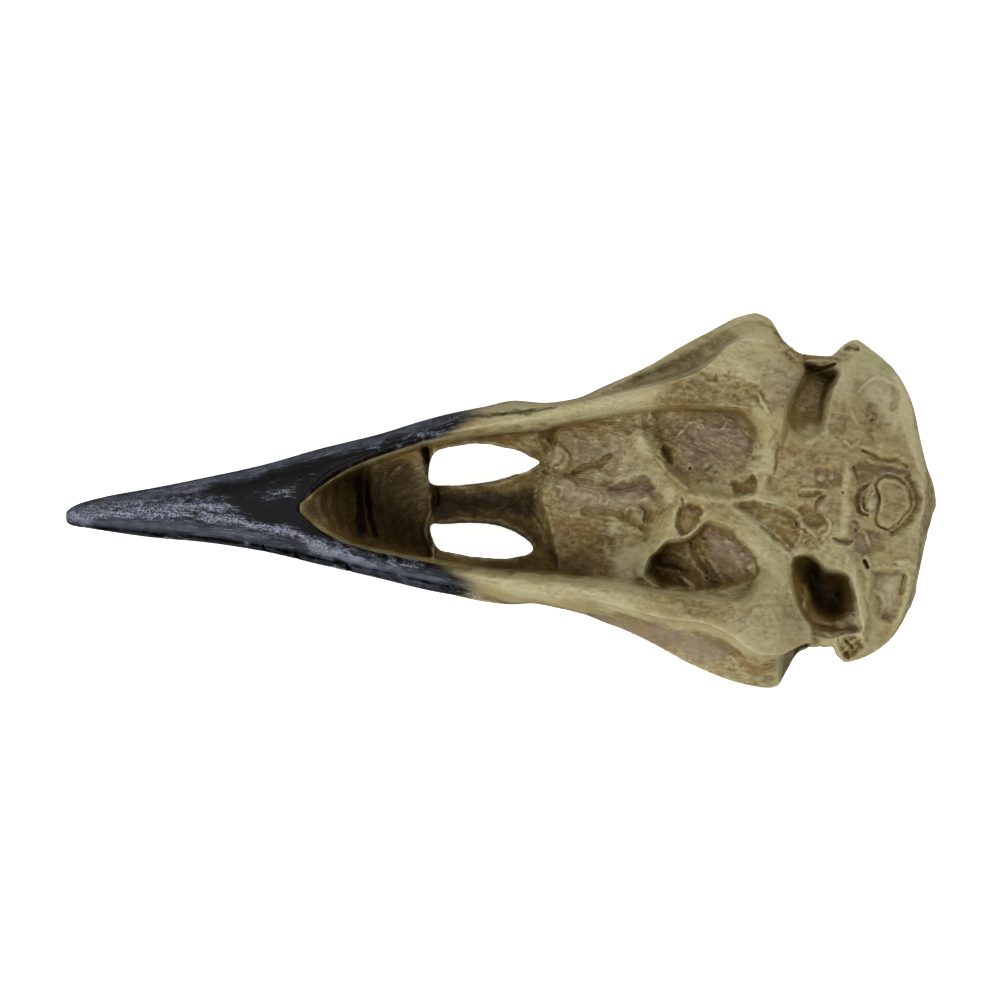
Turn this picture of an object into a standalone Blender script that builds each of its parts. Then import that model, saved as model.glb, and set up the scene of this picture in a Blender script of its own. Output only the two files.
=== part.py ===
"""Cast resin model of a crow's skull with its lower jaw, lying on its crown.

Metres, +Z up. X runs from the tip of the bill (-) to the back of the head (+), Y across it, and the
underside of the head faces up. The origin is on the table, below the middle of the bounding box.

The whole head is lofted as rings across X. Each ring has four runs: the underside of the head, a side
wall, the crown that lies on the table, and the other side wall. The walls sink in at the eye sockets.
The plan is laid out on a grid of cells 0.109 mm wide, seen from slightly off to one side: u counts
cells from the bill to the back, v counts them towards -Y.
"""
import bmesh
import bpy
import numpy as np

# ---- driving dimensions ----
LENGTH = 0.095                # tip of the bill to the back of the head
CELLS_LONG = 872              # cells of the plan along that length
CELL = LENGTH / CELLS_LONG * 1000   # one cell of the plan, mm
MID_U = 501.0                 # u at X = 0
MID_V = 502.0                 # v on the middle line of the head, at the height below
LEVEL = 22.0                  # height at which v gives Y directly, mm
SLANT = 0.075                 # how far a point leans to -Y for each mm that it is above LEVEL
SHIFT_Y = -0.42               # Y of the middle line in mm: it puts the bounding box about Y = 0
LEAN = 0.11                   # how far a side wall comes in for each mm down
SEPTUM = 1.8                  # half thickness of the wall between the eye sockets, mm
SOCKET = (16.0, 10.6)         # eye socket: middle along X and half length, mm
REST_DEPTH = 0.15             # how much of the crown the table flattens, mm

# ---- mesh ----
VOXEL = 0.00042               # grain of the remeshed head
TRIANGLES = 5200              # faces kept on the whole head
FIRST_U, LAST_U = 64.5, 936.9       # first and last ring
RING_STEP = 5.0               # cells between two rings
VENTRAL_POINTS = 66           # points of a ring along the underside of the head
WALL_POINTS = 12              # points of a ring down each side wall
CROWN_POINTS = 24             # points of a ring across the crown
SHARP = 0.9                   # edges that turn by more than this angle stay sharp

# Outline of the plan, as (u, v): the +Y side and the -Y side
OUT_UP = [(64, 516.5), (66, 512), (72, 507), (85, 502), (110, 496), (155, 488), (200, 479), (260, 466),
          (320, 449), (380, 434), (425, 420), (455, 412), (485, 406), (515, 400), (545, 402), (575, 398),
          (605, 385), (650, 364), (680, 346), (710, 330), (740, 315), (755, 312), (768, 316), (785, 340),
          (800, 352), (830, 355), (845, 343), (856, 338), (873, 349), (890, 363), (900, 375), (908, 390),
          (914, 406), (921, 438), (928, 467), (935, 487), (937, 501)]
OUT_LO = [(64, 517.5), (66, 522), (72, 525), (85, 527), (110, 531), (155, 537), (200, 541), (260, 550),
          (320, 564), (380, 578), (425, 589), (455, 595), (485, 602), (515, 605), (530, 604), (560, 609),
          (590, 617), (604, 623), (620, 629), (650, 643), (695, 667), (740, 684), (768, 689), (777, 687),
          (787, 672), (799, 652), (815, 646), (832, 646), (838, 655), (845, 663), (860, 660), (875, 653),
          (890, 641), (900, 628), (914, 597), (922, 562), (928, 534), (933, 515), (937, 502)]

# Ridge along the lower bill, (u, v)
GONYS_V = [(64, 517), (160, 512), (300, 507)]

# Ledge of the upper bill below the lower one, on the -Y side: (u, width)
LEDGE = [(64, 1.5), (110, 3.5), (180, 4.5), (260, 5), (350, 7), (430, 9), (465, 8), (520, 0)]

# Lower jaw: outer rim and inner edge of each branch, (u, v)
RIM_UP = [(296, 505), (312, 486), (330, 470), (360, 456), (400, 441), (430, 433), (480, 423), (540, 411),
          (600, 397), (640, 388), (680, 378), (700, 370), (715, 358), (730, 344), (750, 337), (803, 350)]
IN_UP = [(296, 507), (320, 487), (350, 468), (400, 449), (430, 440), (480, 432), (540, 425), (600, 414),
         (640, 407), (680, 404), (740, 406), (803, 410)]
RIM_LO = [(296, 511), (312, 530), (330, 541), (360, 555), (400, 566), (430, 572), (480, 580), (540, 591),
          (600, 602), (640, 613), (672, 620), (700, 623), (720, 630), (736, 640), (750, 650), (764, 655),
          (780, 655), (794, 649), (806, 643)]
IN_LO = [(296, 509), (320, 530), (350, 545), (400, 557), (440, 564), (500, 572), (560, 577), (620, 586),
         (655, 594), (700, 600), (750, 604), (803, 606)]
JAW_END = [(330, 800), (362, 803), (370, 804), (382, 799), (398, 791), (412, 787), (432, 784), (470, 776),
           (500, 775), (530, 780), (555, 786), (590, 793), (606, 798), (618, 805), (627, 812), (641, 812),
           (655, 806), (670, 800)]

# Heights in mm along u, and half the width of the bar between the nostrils
BILL_EDGE_Z = [(64, 9.0), (181, 9.6), (318, 11), (455, 12.8), (545, 14.6), (650, 17.6), (755, 19.2),
               (775, 18.6)]
GONYS_Z = [(64, 9.3), (72, 10.2), (85, 10.9), (133, 12.2), (198, 13.7), (262, 15.2), (300, 16.4)]
JAW_RIM_Z = [(296, 16.4), (400, 18.6), (500, 21.4), (600, 24.6), (740, 29.0), (772, 28.4), (794, 26.8),
             (812, 24.6)]
SPOON_Z = [(296, 16.2), (318, 14.4), (335, 12.0), (352, 9.3), (366, 7.6), (380, 8.0), (405, 9.6),
           (428, 11.0), (431, 10.8), (434, 8.4), (480, 8.2), (505, 9.4), (525, 11.4), (541, 13.6),
           (552, 14.6)]
BAR_HALF = [(430, 19), (470, 19), (500, 23), (520, 30), (545, 45), (560, 60)]   # cells
SHEET_Z = [(540, 14.8), (580, 16.0), (640, 18.2), (680, 20.6)]
BASE_Z = [(640, 21.0), (685, 22.8), (760, 23.2), (830, 22.6), (865, 21.0), (900, 19.0), (918, 17.8),
          (937, 17.4)]
JAW_FLOOR_Z = [(64, 9.2), (181, 9.8), (318, 11.2), (455, 13.2), (545, 15.6), (640, 18.4), (755, 20.2),
               (812, 20.8)]

# Crown, by X in mm: its lowest line, the half width of the roof and the height of the roof's edge
CULMEN_Z = [(-47.5, 8.2), (-46.3, 6.6), (-44, 5.0), (-40, 3.2), (-33, 1.2), (-26, 0.2), (-20, 0.0),
            (-12, 0.5), (-6, 1.5), (0, 2.8), (6, 2.7), (12, 1.7), (18, 0.6), (24, 0.0), (31, 0.3), (37, 2.0),
            (42, 5.2), (45, 7.4), (47.5, 8.6)]
ROOF_HALF = [(-47.5, 30), (0, 30), (2.5, 10.2), (6, 8.6), (10, 8.0), (14, 8.4), (18, 10.2), (22, 13.2),
             (25, 15.0), (28, 16.0), (32, 15.9), (36, 15.7), (40, 14.6), (44, 11.2), (46, 8), (47.5, 4)]
ROOF_EDGE_Z = [(-47.5, 8.6), (-35, 9.1), (-20, 10.4), (-8, 11.4), (-2, 8.5), (3, 5.0), (8, 3.4), (14, 2.4),
               (20, 2.8), (25, 5.4), (29, 8.6), (34, 9.6), (42, 9.8), (47.5, 9.0)]

# Openings and hollows of the plan, (u, v)
NOSTRIL_UP = [(428, 471), (431, 457), (440, 449), (460, 444.5), (478, 442.5), (500, 445), (520, 450),
              (533, 457), (541, 462.5), (530, 470), (515, 475), (490, 482), (460, 485), (432, 484)]
NOSTRIL_LO = [(430, 526), (445, 523.5), (475, 522), (495, 525), (515, 532), (528, 540), (534, 549),
              (527, 555), (505, 559.5), (480, 558.5), (455, 554), (437, 548)]
FOSSA_UP = [(648, 420), (660, 409), (677, 405), (700, 404), (720, 406), (742, 410), (754, 418), (760, 434),
            (757, 456), (749, 472), (752, 488), (735, 494), (713, 493), (699, 489), (683, 485), (675, 478),
            (667, 467), (659, 455), (652, 438)]
FOSSA_LO = [(668, 544), (660, 552), (651, 561), (648, 575), (662, 585), (682, 590), (702, 591), (728, 587),
            (742, 582), (755, 575), (757, 567), (754, 556), (742, 543), (728, 531), (717, 526), (708, 524),
            (699, 532), (690, 538), (680, 541)]
EAR_UP = [(806, 367), (820, 369), (836, 372), (829, 388), (825, 406), (822, 428), (808, 440),
          (794, 436), (788, 420), (792, 398), (802, 380)]
EAR_LO = [(795, 561), (808, 557), (817, 563), (825, 571), (840, 574), (849, 580), (854, 598), (858, 616),
          (859, 630), (838, 633), (815, 629), (804, 616), (796, 598), (793, 580)]
EAR_CORE = [(800, 566), (812, 564), (822, 574), (838, 578), (846, 590), (846, 608), (834, 616), (820, 612),
            (808, 596)]
SHEET_FRONT = [(556, 440), (550, 465), (542, 485), (541, 500), (546, 515), (551, 535), (556, 560)]
NUCHAL_EDGE = [(872, 338), (886, 364), (900, 381), (910, 398), (915, 420), (917, 440), (919, 458), (924, 476),
               (926, 492), (925, 510), (921, 530), (919, 555), (917, 573), (912, 592), (906, 609), (899, 627),
               (888, 645)]


# ---- smooth lines and masks ----
def curve(stations, x):
    """Value at x of the smooth line through (x, value) stations, without overshoot."""
    xs, ys = np.array(stations, float).T
    h = np.diff(xs)
    d = np.diff(ys) / h
    m = np.zeros_like(ys)
    same = d[:-1] * d[1:] > 0
    w1, w2 = 2 * h[1:] + h[:-1], h[1:] + 2 * h[:-1]
    m[1:-1][same] = ((w1 + w2)[same]) / (w1[same] / d[:-1][same] + w2[same] / d[1:][same])
    m[0], m[-1] = d[0], d[-1]
    x = np.clip(x, xs[0], xs[-1])
    i = np.clip(np.searchsorted(xs, x) - 1, 0, len(h) - 1)
    t = (x - xs[i]) / h[i]
    return ((1 + 2 * t) * (1 - t) ** 2 * ys[i] + t * (1 - t) ** 2 * h[i] * m[i]
            + t * t * (3 - 2 * t) * ys[i + 1] + t * t * (t - 1) * h[i] * m[i + 1])


def step(a, b, t):
    """0 at a, 1 at b, and smooth between."""
    t = np.clip((t - a) / (b - a), 0, 1)
    return t * t * (3 - 2 * t)


def rounded(points):
    """Closed line with four points to each span of a smooth loop through the given ones."""
    p = np.array(points, float)
    n = len(p)
    line = []
    for i in range(n):
        a, b, c, d = p[i - 1], p[i], p[(i + 1) % n], p[(i + 2) % n]
        for t in (0, 0.25, 0.5, 0.75):
            line.append(0.5 * (2 * b + (c - a) * t + (2 * a - 5 * b + 4 * c - d) * t * t
                               + (3 * b - a - 3 * c + d) * t ** 3))
    return np.array(line)


def patch(points, u, v, soft):
    """1 inside a rounded loop, falling to 0 across `soft` cells about its edge."""
    line = rounded(points)
    u, v = np.broadcast_arrays(u, v)
    low, high = line.min(0) - soft, line.max(0) + soft
    near = (u > low[0]) & (u < high[0]) & (v > low[1]) & (v < high[1])
    p, q = u[near], v[near]
    far = np.full(p.shape, 1e9)
    inside = np.zeros(p.shape, bool)
    for a, b in zip(line, np.roll(line, -1, axis=0)):
        d = b - a
        t = np.clip(((p - a[0]) * d[0] + (q - a[1]) * d[1]) / max(d @ d, 1e-9), 0, 1)
        far = np.minimum(far, np.hypot(p - a[0] - t * d[0], q - a[1] - t * d[1]))
        if a[1] != b[1]:
            crosses = (a[1] > q) != (b[1] > q)
            inside ^= crosses & (p < d[0] * (q - a[1]) / d[1] + a[0])
    mask = np.zeros(u.shape)
    mask[near] = step(-soft / 2, soft / 2, np.where(inside, far, -far))
    return mask


def spot(u, v, cu, cv, ru, rv):
    """Round bump of height 1 about (cu, cv)."""
    return np.clip(1 - ((u - cu) / ru) ** 2 - ((v - cv) / rv) ** 2, 0, 1) ** 2


# ---- underside of the head: heights in mm over the plan ----
def bill_z(u, v):
    up = curve(OUT_UP, u)
    lo = curve(OUT_LO, u) - curve(LEDGE, u)
    ridge = curve(GONYS_V, u)
    half = np.where(v < ridge, ridge - up, lo - ridge)
    t = np.abs(v - ridge) / np.maximum(half, 0.5)
    edge, top = curve(BILL_EDGE_Z, u), curve(GONYS_Z, u)
    flat = 2 + 1.4 * step(190, 296, u)
    return edge + (top - edge) * (1 - np.clip(t, 0, 1) ** flat) ** 0.75


def side_z(u, v):
    """Outer faces of the jaw, and behind them the hollow cheek with its lip."""
    up, lo, ru, rl = (curve(c, u) for c in (OUT_UP, OUT_LO, RIM_UP, RIM_LO))
    lo = lo - curve(LEDGE, u)
    edge, rim = curve(BILL_EDGE_Z, u), curve(JAW_RIM_Z, u)
    s = np.where(v < MID_V, (v - up) / np.maximum(ru - up, 1), (lo - v) / np.maximum(lo - rl, 1))
    s = np.clip(s, 0, 1)
    face = edge + (rim - edge) * (1 - (1 - s) ** 2.2) ** 0.7
    lip = 0.25 * step(0, 0.2, s) - 0.3 * np.sin(np.pi * np.clip((s - 0.2) / 0.6, 0, 1)) ** 2
    hollow_up = edge + lip + (rim - edge - 0.6) * (0.04 * s + 0.96 * step(0.76, 1.04, s) ** 1.2)
    hollow_lo = edge + (rim - edge - 0.8) * (0.34 * s + 0.66 * s ** 2.6)
    cheek = np.where(v < MID_V, hollow_up, hollow_lo)
    neck = step(778, 796, u)
    cheek = cheek * (1 - neck) + 13.5 * neck
    far = step(560, 640, u)
    return face * (1 - far) + cheek * far


def mouth_z(u, v):
    """Between the jaw branches: hollow of the bill, bar between the nostrils and the rear palate."""
    across = np.abs(v - MID_V - 1.5)
    bent = u + 0.0015 * (v - MID_V) ** 2 - 0.12 * (v - MID_V)
    bar_half = curve(BAR_HALF, u)
    front = curve(SPOON_Z, bent) + 3.8 * step(426, 434, u) * step(0, 34, across - bar_half)
    sheet = curve(SHEET_Z, u) + 1.2 * step(30, 75, across)
    line = [(b, a) for a, b in SHEET_FRONT]
    w = step(-4, 3, u - curve(line, v))
    return front * (1 - w) + sheet * w


def base_z(u, v):
    """Base of the braincase."""
    up, lo = curve(OUT_UP, u), curve(OUT_LO, u)
    half = np.where(v < MID_V, MID_V - up, lo - MID_V)
    t = np.clip(np.abs(v - MID_V) / np.maximum(half, 1), 0, 1)
    return curve(BASE_Z, u) - 4.6 * step(770, 830, u) * step(930, 880, u) * t ** 2


def ventral_z(u, v):
    """Height in mm of the underside of the head over the plan."""
    k = step(640, 690, u)
    z = mouth_z(u, v) * (1 - k) + base_z(u, v) * k
    z = z - patch(FOSSA_UP, u, v, 22) * (0.6 + 2.2 * spot(u, v, 690, 446, 80, 62))
    z = z - patch(FOSSA_LO, u, v, 9) * (0.9 + 2.7 * step(756, 676, u) + 1.0 * spot(u, v, 668, 576, 36, 26))
    # lower jaw
    upper = v < 508
    ru, iu, il, rl = (curve(c, u) for c in (RIM_UP, IN_UP, IN_LO, RIM_LO))
    end = step(-2.5, 3, curve(JAW_END, v) - u)
    band = np.where(upper, (v - ru) / np.maximum(iu - ru, 1), (rl - v) / np.maximum(rl - il, 1))
    band = np.clip(band, 0, 1)
    crest = curve(JAW_RIM_Z, u) + 0.35 * np.sin(np.pi * band) - 1.2 * band ** 2
    wall = 7 + 45 * step(735, 775, u)
    inward = np.where(upper, v - iu, il - v)
    keep = (1 - step(0, 1, inward / wall)) * end
    z = np.where(u > 296, z + np.maximum(crest - z, 0) * keep, z)
    outward = np.where(upper, ru - v, v - rl)
    side = side_z(u, v)
    fork = step(296, 345, u)
    side = bill_z(u, v) * (1 - fork) + side * fork
    z = np.where((outward > 0) & (u < 812) & (u > 296), z * (1 - end) + side * end, z)
    # bill, ears and the step down past the nuchal edge
    z = np.where(u < 297, bill_z(u, v), z)
    z = z - 3.6 * patch(EAR_UP, u, v, 12) * step(446, 396, v)
    z = z - 2.2 * patch(EAR_LO, u, v, 8) - 3.6 * patch(EAR_CORE, u, v, 20)
    past = u - curve([(b, a) for a, b in NUCHAL_EDGE], v)
    return z - 2.4 * step(-2, 7, past) - 3.2 * step(3, 22, past)


# ---- side walls and crown, by X and Y in mm ----
def crown_z(x, t):
    """Height of the crown at x, with t from 0 on the middle line to 1 at the roof's edge."""
    low, edge = curve(CULMEN_Z, x), curve(ROOF_EDGE_Z, x)
    bill = 1 - step(-6, 3, x)
    back = step(18, 30, x)
    arch = 1 - np.sqrt(np.clip(1 - t ** 1.8, 0, 1))
    dome = 1 - np.clip(1 - t ** 2.4, 0, 1) ** 0.5
    f = bill * arch + (1 - bill) * ((1 - back) * t ** 3 + back * dome)
    lobes = 0.25 * step(12, 22, x) * step(42, 34, x)
    return low + (edge - low) * f - lobes * np.exp(-((t - 0.33) / 0.2) ** 2)


def wall(x, outer, top, count):
    """One side wall at x, from the outline (outer, top) down to the edge of the roof: y and z runs."""
    low = min(float(curve(ROOF_EDGE_Z, x)), top - 0.5)
    roof = min(float(curve(ROOF_HALF, x)), max(outer - LEAN * (top - low), 0.6 * outer))
    s = np.linspace(0, 1, count)
    plain_y = outer + (roof - outer) * s + 0.15 * np.sin(np.pi * s)
    plain_z = top + (low - top) * s
    # the eye socket is oval from the side, with its ceiling under the cheek and its floor over the roof
    open_to = np.sqrt(max(1 - ((x - SOCKET[0]) / SOCKET[1]) ** 2, 0))
    high, deep = low + 0.80 * (top - low), low + 0.8
    middle = 0.5 * (high + deep)
    ceiling, floor = middle + (high - middle) * open_to, middle - (middle - deep) * open_to
    across = outer + (roof - outer) * 0.5
    inner = across + (SEPTUM - across) * step(0, 0.9, open_to)
    upper_lip, lower_lip = 0.35 * outer + 0.65 * inner, 0.35 * roof + 0.65 * inner
    run = [(outer, top), (0.97 * outer, ceiling + 0.5), (upper_lip, ceiling - 0.3),
           (inner, ceiling - 1.2), (inner, floor + 1.0),
           (lower_lip, floor + 0.3), (roof, floor - 0.4), (roof, low)]
    ys, zs = np.array(run).T
    keys = np.linspace(0, 1, len(run))
    sunk = step(0, 0.3, open_to)
    return (plain_y + (np.interp(s, keys, ys) - plain_y) * sunk,
            plain_z + (np.interp(s, keys, zs) - plain_z) * sunk)


# ---- rings of the whole head ----
def ring(u):
    """Points (mm) of one ring across the head."""
    x = (u - MID_U) * CELL
    v = np.linspace(curve(OUT_LO, u), curve(OUT_UP, u), VENTRAL_POINTS)
    z = ventral_z(np.full_like(v, u), v)
    y = (MID_V - v) * CELL - (z - LEVEL) * SLANT
    left_y, left_z = wall(x, y[-1], z[-1], WALL_POINTS)
    right_y, right_z = wall(x, -y[0], z[0], WALL_POINTS)
    t = np.linspace(1, -1, CROWN_POINTS)
    half = np.where(t > 0, left_y[-1], right_y[-1])
    drop = np.where(t > 0, left_z[-1], right_z[-1]) - curve(ROOF_EDGE_Z, x)
    crown = crown_z(x, np.abs(t)) + np.minimum(drop, 0) * t ** 2
    ys = np.concatenate([y, left_y[1:-1], t * half, -right_y[-2:0:-1]])
    zs = np.concatenate([z, left_z[1:-1], crown, right_z[-2:0:-1]])
    return np.column_stack([np.full(len(ys), x), ys + SHIFT_Y, zs])


def plan_point(u, v, z):
    """Point in mm that the plan shows at (u, v) when it is at height z."""
    return np.array([(u - MID_U) * CELL, (MID_V - v) * CELL - (z - LEVEL) * SLANT + SHIFT_Y, z])


def add_object(name, mesh):
    obj = bpy.data.objects.new(name, mesh)
    bpy.context.scene.collection.objects.link(obj)
    return obj


def loft(name, rings):
    """Closed object through rings of points in mm."""
    bm = bmesh.new()
    rows = [[bm.verts.new(p * 0.001) for p in points] for points in rings]
    count = len(rows[0])
    for near, far in zip(rows, rows[1:]):
        for i in range(count):
            j = (i + 1) % count
            bm.faces.new((near[i], near[j], far[j], far[i]))
    bm.faces.new(rows[0][::-1])
    bm.faces.new(rows[-1])
    bmesh.ops.recalc_face_normals(bm, faces=bm.faces)
    mesh = bpy.data.meshes.new(name)
    bm.to_mesh(mesh)
    bm.free()
    return add_object(name, mesh)


def bake(obj):
    """Replace an object's mesh by what its modifiers make of it."""
    depsgraph = bpy.context.evaluated_depsgraph_get()
    mesh = bpy.data.meshes.new_from_object(obj.evaluated_get(depsgraph))
    obj.modifiers.clear()
    obj.data = mesh


def boolean(obj, tool, operation):
    """Cut or trim an object with a tool, which is used up."""
    mod = obj.modifiers.new(operation.title(), 'BOOLEAN')
    mod.operation = operation
    mod.solver = 'EXACT'
    mod.object = tool
    bake(obj)
    bpy.data.objects.remove(tool)


def keep_largest(obj):
    """Drop the crumbs that a cut leaves beside its main body."""
    bm = bmesh.new()
    bm.from_mesh(obj.data)
    left, bodies = set(bm.verts), []
    while left:
        body, edge = set(), [left.pop()]
        while edge:
            vert = edge.pop()
            body.add(vert)
            for e in vert.link_edges:
                other = e.other_vert(vert)
                if other in left:
                    left.remove(other)
                    edge.append(other)
        bodies.append(body)
    bodies.sort(key=len)
    bmesh.ops.delete(bm, geom=[v for body in bodies[:-1] for v in body], context='VERTS')
    bm.to_mesh(obj.data)
    bm.free()


def whole_head():
    """The head in one piece, with its nostrils cut through and few faces."""
    stations = np.append(np.arange(FIRST_U, LAST_U, RING_STEP), LAST_U)
    head = loft("head", [ring(u) for u in stations])
    for loop in (NOSTRIL_UP, NOSTRIL_LO):
        line = rounded(loop)
        tool = loft("nostril", [np.array([plan_point(u, v, z) for u, v in line]) for z in NOSTRIL_Z])
        boolean(head, tool, 'DIFFERENCE')
    remesh = head.modifiers.new("Remesh", 'REMESH')
    remesh.mode = 'VOXEL'
    remesh.voxel_size = VOXEL
    bake(head)
    keep_largest(head)
    thin = head.modifiers.new("Decimate", 'DECIMATE')
    thin.ratio = TRIANGLES / (2 * len(head.data.polygons))
    bake(head)
    for vert in head.data.vertices:
        vert.co.z = max(vert.co.z - REST_DEPTH * 0.001, 0)
    return head


# ---- the pieces that have names ----
SEAM = 0.3                    # gap between neighbouring pieces, mm
SPLIT_Z = 13.6                # height of the cut between crown pieces and palate pieces, mm
LOWEST, HIGHEST = -5.0, 35.0  # heights beyond the table and the jaw, mm
FAR_UP, FAR_LO = 240, 760     # v beyond the two sides of the head
WALL_IN = 9                   # cells from the jaw's inner edge to the foot of its wall
STATIONS = 14                 # stations along each cutting block
NOSTRIL_Z = (-3, 17)          # reach of the nostril cuts, mm

# u of the cuts across the head, from the tip of the bill to the back of the head
TIP, CHIN, SNOUT, BROW, BASE, ORBIT, NECK, BACK = 50, 336, 428, 548, 690, 735, 813, 950

# name, first and last u, layer of heights, share of the width
PIECES = [
    ("lower_bill", TIP, CHIN, "jaw", "whole"),
    ("upper_bill", TIP, SNOUT, "under the jaw", "whole"),
    ("nasal_frame", SNOUT, BROW, "under the jaw", "whole"),
    ("jaw_left", CHIN, NECK, "jaw", "left"),
    ("jaw_right", CHIN, NECK, "jaw", "right"),
    ("cheek_left", BROW, NECK, "cheek", "left"),
    ("cheek_right", BROW, NECK, "cheek", "right"),
    ("palate", BROW, BASE, "base", "middle"),
    ("skull_base", BASE, NECK, "base", "middle"),
    ("occiput", NECK, BACK, "base", "whole"),
    ("orbital_roof", BROW, ORBIT, "crown", "whole"),
    ("braincase", ORBIT, BACK, "crown", "whole"),
]

BONE = ((0.40, 0.33, 0.16, 1), 0.5)     # colour and roughness
HORN = ((0.012, 0.013, 0.018, 1), 0.35)


def heights(layer, u):
    """Lowest and highest z in mm of a layer of the head, over the stations u."""
    half = SEAM / 2
    jaw_floor = curve(JAW_FLOOR_Z, u)
    layers = {
        "jaw": (jaw_floor + half, HIGHEST),
        "under the jaw": (LOWEST, jaw_floor - half),
        "cheek": (SPLIT_Z + half, jaw_floor - half),
        "base": (SPLIT_Z + half, HIGHEST),
        "crown": (LOWEST, SPLIT_Z - half),
    }
    return layers[layer]


def edges(share, u):
    """The v of both sides of a share of the width, over the stations u: the -Y side first."""
    half = SEAM / CELL / 2
    left = curve(IN_UP, u) + WALL_IN
    right = curve(IN_LO, u) - WALL_IN
    shares = {
        "whole": (FAR_LO, FAR_UP),
        "left": (left - half, FAR_UP),
        "right": (FAR_LO, right + half),
        "middle": (right - half, left + half),
    }
    return shares[share]


def cutting_block(start, end, layer, share):
    """Block that holds one piece of the head."""
    half = SEAM / CELL / 2
    u = np.linspace(start + half, end - half, STATIONS)
    limits = [*heights(layer, u), *edges(share, u)]
    rings = []
    for at, low, high, right, left in zip(u, *(np.broadcast_to(limit, u.shape) for limit in limits)):
        corners = [(right, low), (left, low), (left, high), (right, high)]
        rings.append(np.array([plan_point(at, v, z) for v, z in corners]))
    return loft("block", rings)


def plain_material(name, colour, roughness):
    mat = bpy.data.materials.new(name)
    mat.use_nodes = True
    shader = mat.node_tree.nodes["Principled BSDF"]
    shader.inputs["Base Color"].default_value = colour
    shader.inputs["Roughness"].default_value = roughness
    return mat


def add_piece(head, name, start, end, layer, share):
    """Object with the part of the head that lies in its block."""
    piece = add_object(name, head.data.copy())
    boolean(piece, cutting_block(start, end, layer, share), 'INTERSECT')
    keep_largest(piece)
    piece.data.materials.clear()
    piece.data.materials.append(plain_material(name, *(HORN if name.endswith("bill") else BONE)))
    piece.data.shade_smooth()
    piece.data.set_sharp_from_angle(angle=SHARP)


def main():
    for obj in list(bpy.data.objects):
        bpy.data.objects.remove(obj)
    head = whole_head()
    for piece in PIECES:
        add_piece(head, *piece)
    bpy.data.objects.remove(head)


main()
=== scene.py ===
"""Looks of the cast resin crow skull: one hand-painted skin over all its solids.

The scene is in metres. The head is shaped over the same plan as its solids: u counts cells from the tip
of the bill to the back of the head, v counts them towards -Y, and heights over the plan are in mm.
"""

import bmesh
import bpy
import numpy as np
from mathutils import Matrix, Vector


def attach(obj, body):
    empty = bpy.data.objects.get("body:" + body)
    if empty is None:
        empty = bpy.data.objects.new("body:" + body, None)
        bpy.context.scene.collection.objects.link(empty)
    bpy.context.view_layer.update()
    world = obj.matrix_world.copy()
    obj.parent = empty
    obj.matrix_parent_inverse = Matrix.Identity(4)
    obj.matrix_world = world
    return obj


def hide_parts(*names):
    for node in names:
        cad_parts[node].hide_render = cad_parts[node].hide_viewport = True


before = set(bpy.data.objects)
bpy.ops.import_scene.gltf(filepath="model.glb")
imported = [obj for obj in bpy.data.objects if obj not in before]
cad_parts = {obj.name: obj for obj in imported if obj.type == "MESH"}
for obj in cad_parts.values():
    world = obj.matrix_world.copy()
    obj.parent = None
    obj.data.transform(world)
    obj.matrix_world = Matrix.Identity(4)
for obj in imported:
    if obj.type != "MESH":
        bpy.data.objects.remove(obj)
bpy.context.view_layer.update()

# ---- driving dimensions ----
LENGTH = 0.095                # tip of the bill to the back of the head
CELL = LENGTH / 872 * 1000    # one of the plan's 872 cells along the head, mm
MID_U = 501.0                 # u at X = 0
MID_V = 502.0                 # v on the middle line of the head, at the height below
LEVEL = 22.0                  # height at which v gives Y directly, mm
SLANT = 0.075                 # how far a point leans to -Y for each mm that it is above LEVEL
SHIFT_Y = -0.42               # Y of the middle line, mm
LEAN = 0.11                   # how far a side wall comes in for each mm down
SEPTUM = 1.8                  # half thickness of the wall between the eye sockets, mm
SOCKET = (16.0, 10.6)         # eye socket: middle along X and half length, mm
REST_DEPTH = 0.15             # how much of the crown the table flattens, mm
VOXEL = 0.145   # grain of the skin's mesh, mm
GRAIN = 0.5                   # grain of the relief, cells
PLAN_U = (58.0, 944.0)        # reach of the relief
PLAN_V = (300.0, 704.0)
TABLE = 256                   # side of the table of random numbers

# Places along the head where one shape gives way to the next, u
TIP_U, BACK_U = 64.5, 936.9   # first and last ring
FLAT_TOP = (190, 296)         # the lower bill's ridge turns blunter
FORK = (296, 345)             # the lower bill parts into the two branches of the jaw
BONE_FROM = (380, 470)        # smooth bill to uneven bone
PLATE_STEP = (426, 434)       # spoon of the bill to the plate beside the bar
CHEEK_FROM = (560, 640)       # outer face of the jaw to the hollow cheek
BASE_FROM = (640, 690)        # palate to base of the braincase
FLOOR_LO = (756, 676)         # the lower hollow deepens towards the front
JAW_WIDENS = (735, 775)       # the inner slope of the branch widens into its rear plate
CHEEK_END = (778, 796)
JAW_BACK = 812                # end of the branch's outer face
WING_FALL = (770, 830)        # the base starts to fall off to its sides
WING_END = (930, 880)         # and is level again

# Places across the head, v
MOUTH_V = 508                 # parts the two branches of the jaw
EAR_UP_FADE = (446, 396)      # the upper ear deepens away from the middle

# Deepest places of the two hollows behind the palate: u, v and reach along each
DEEP_UP = (690, 446, 80, 62)
DEEP_LO = (668, 576, 36, 26)

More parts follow.
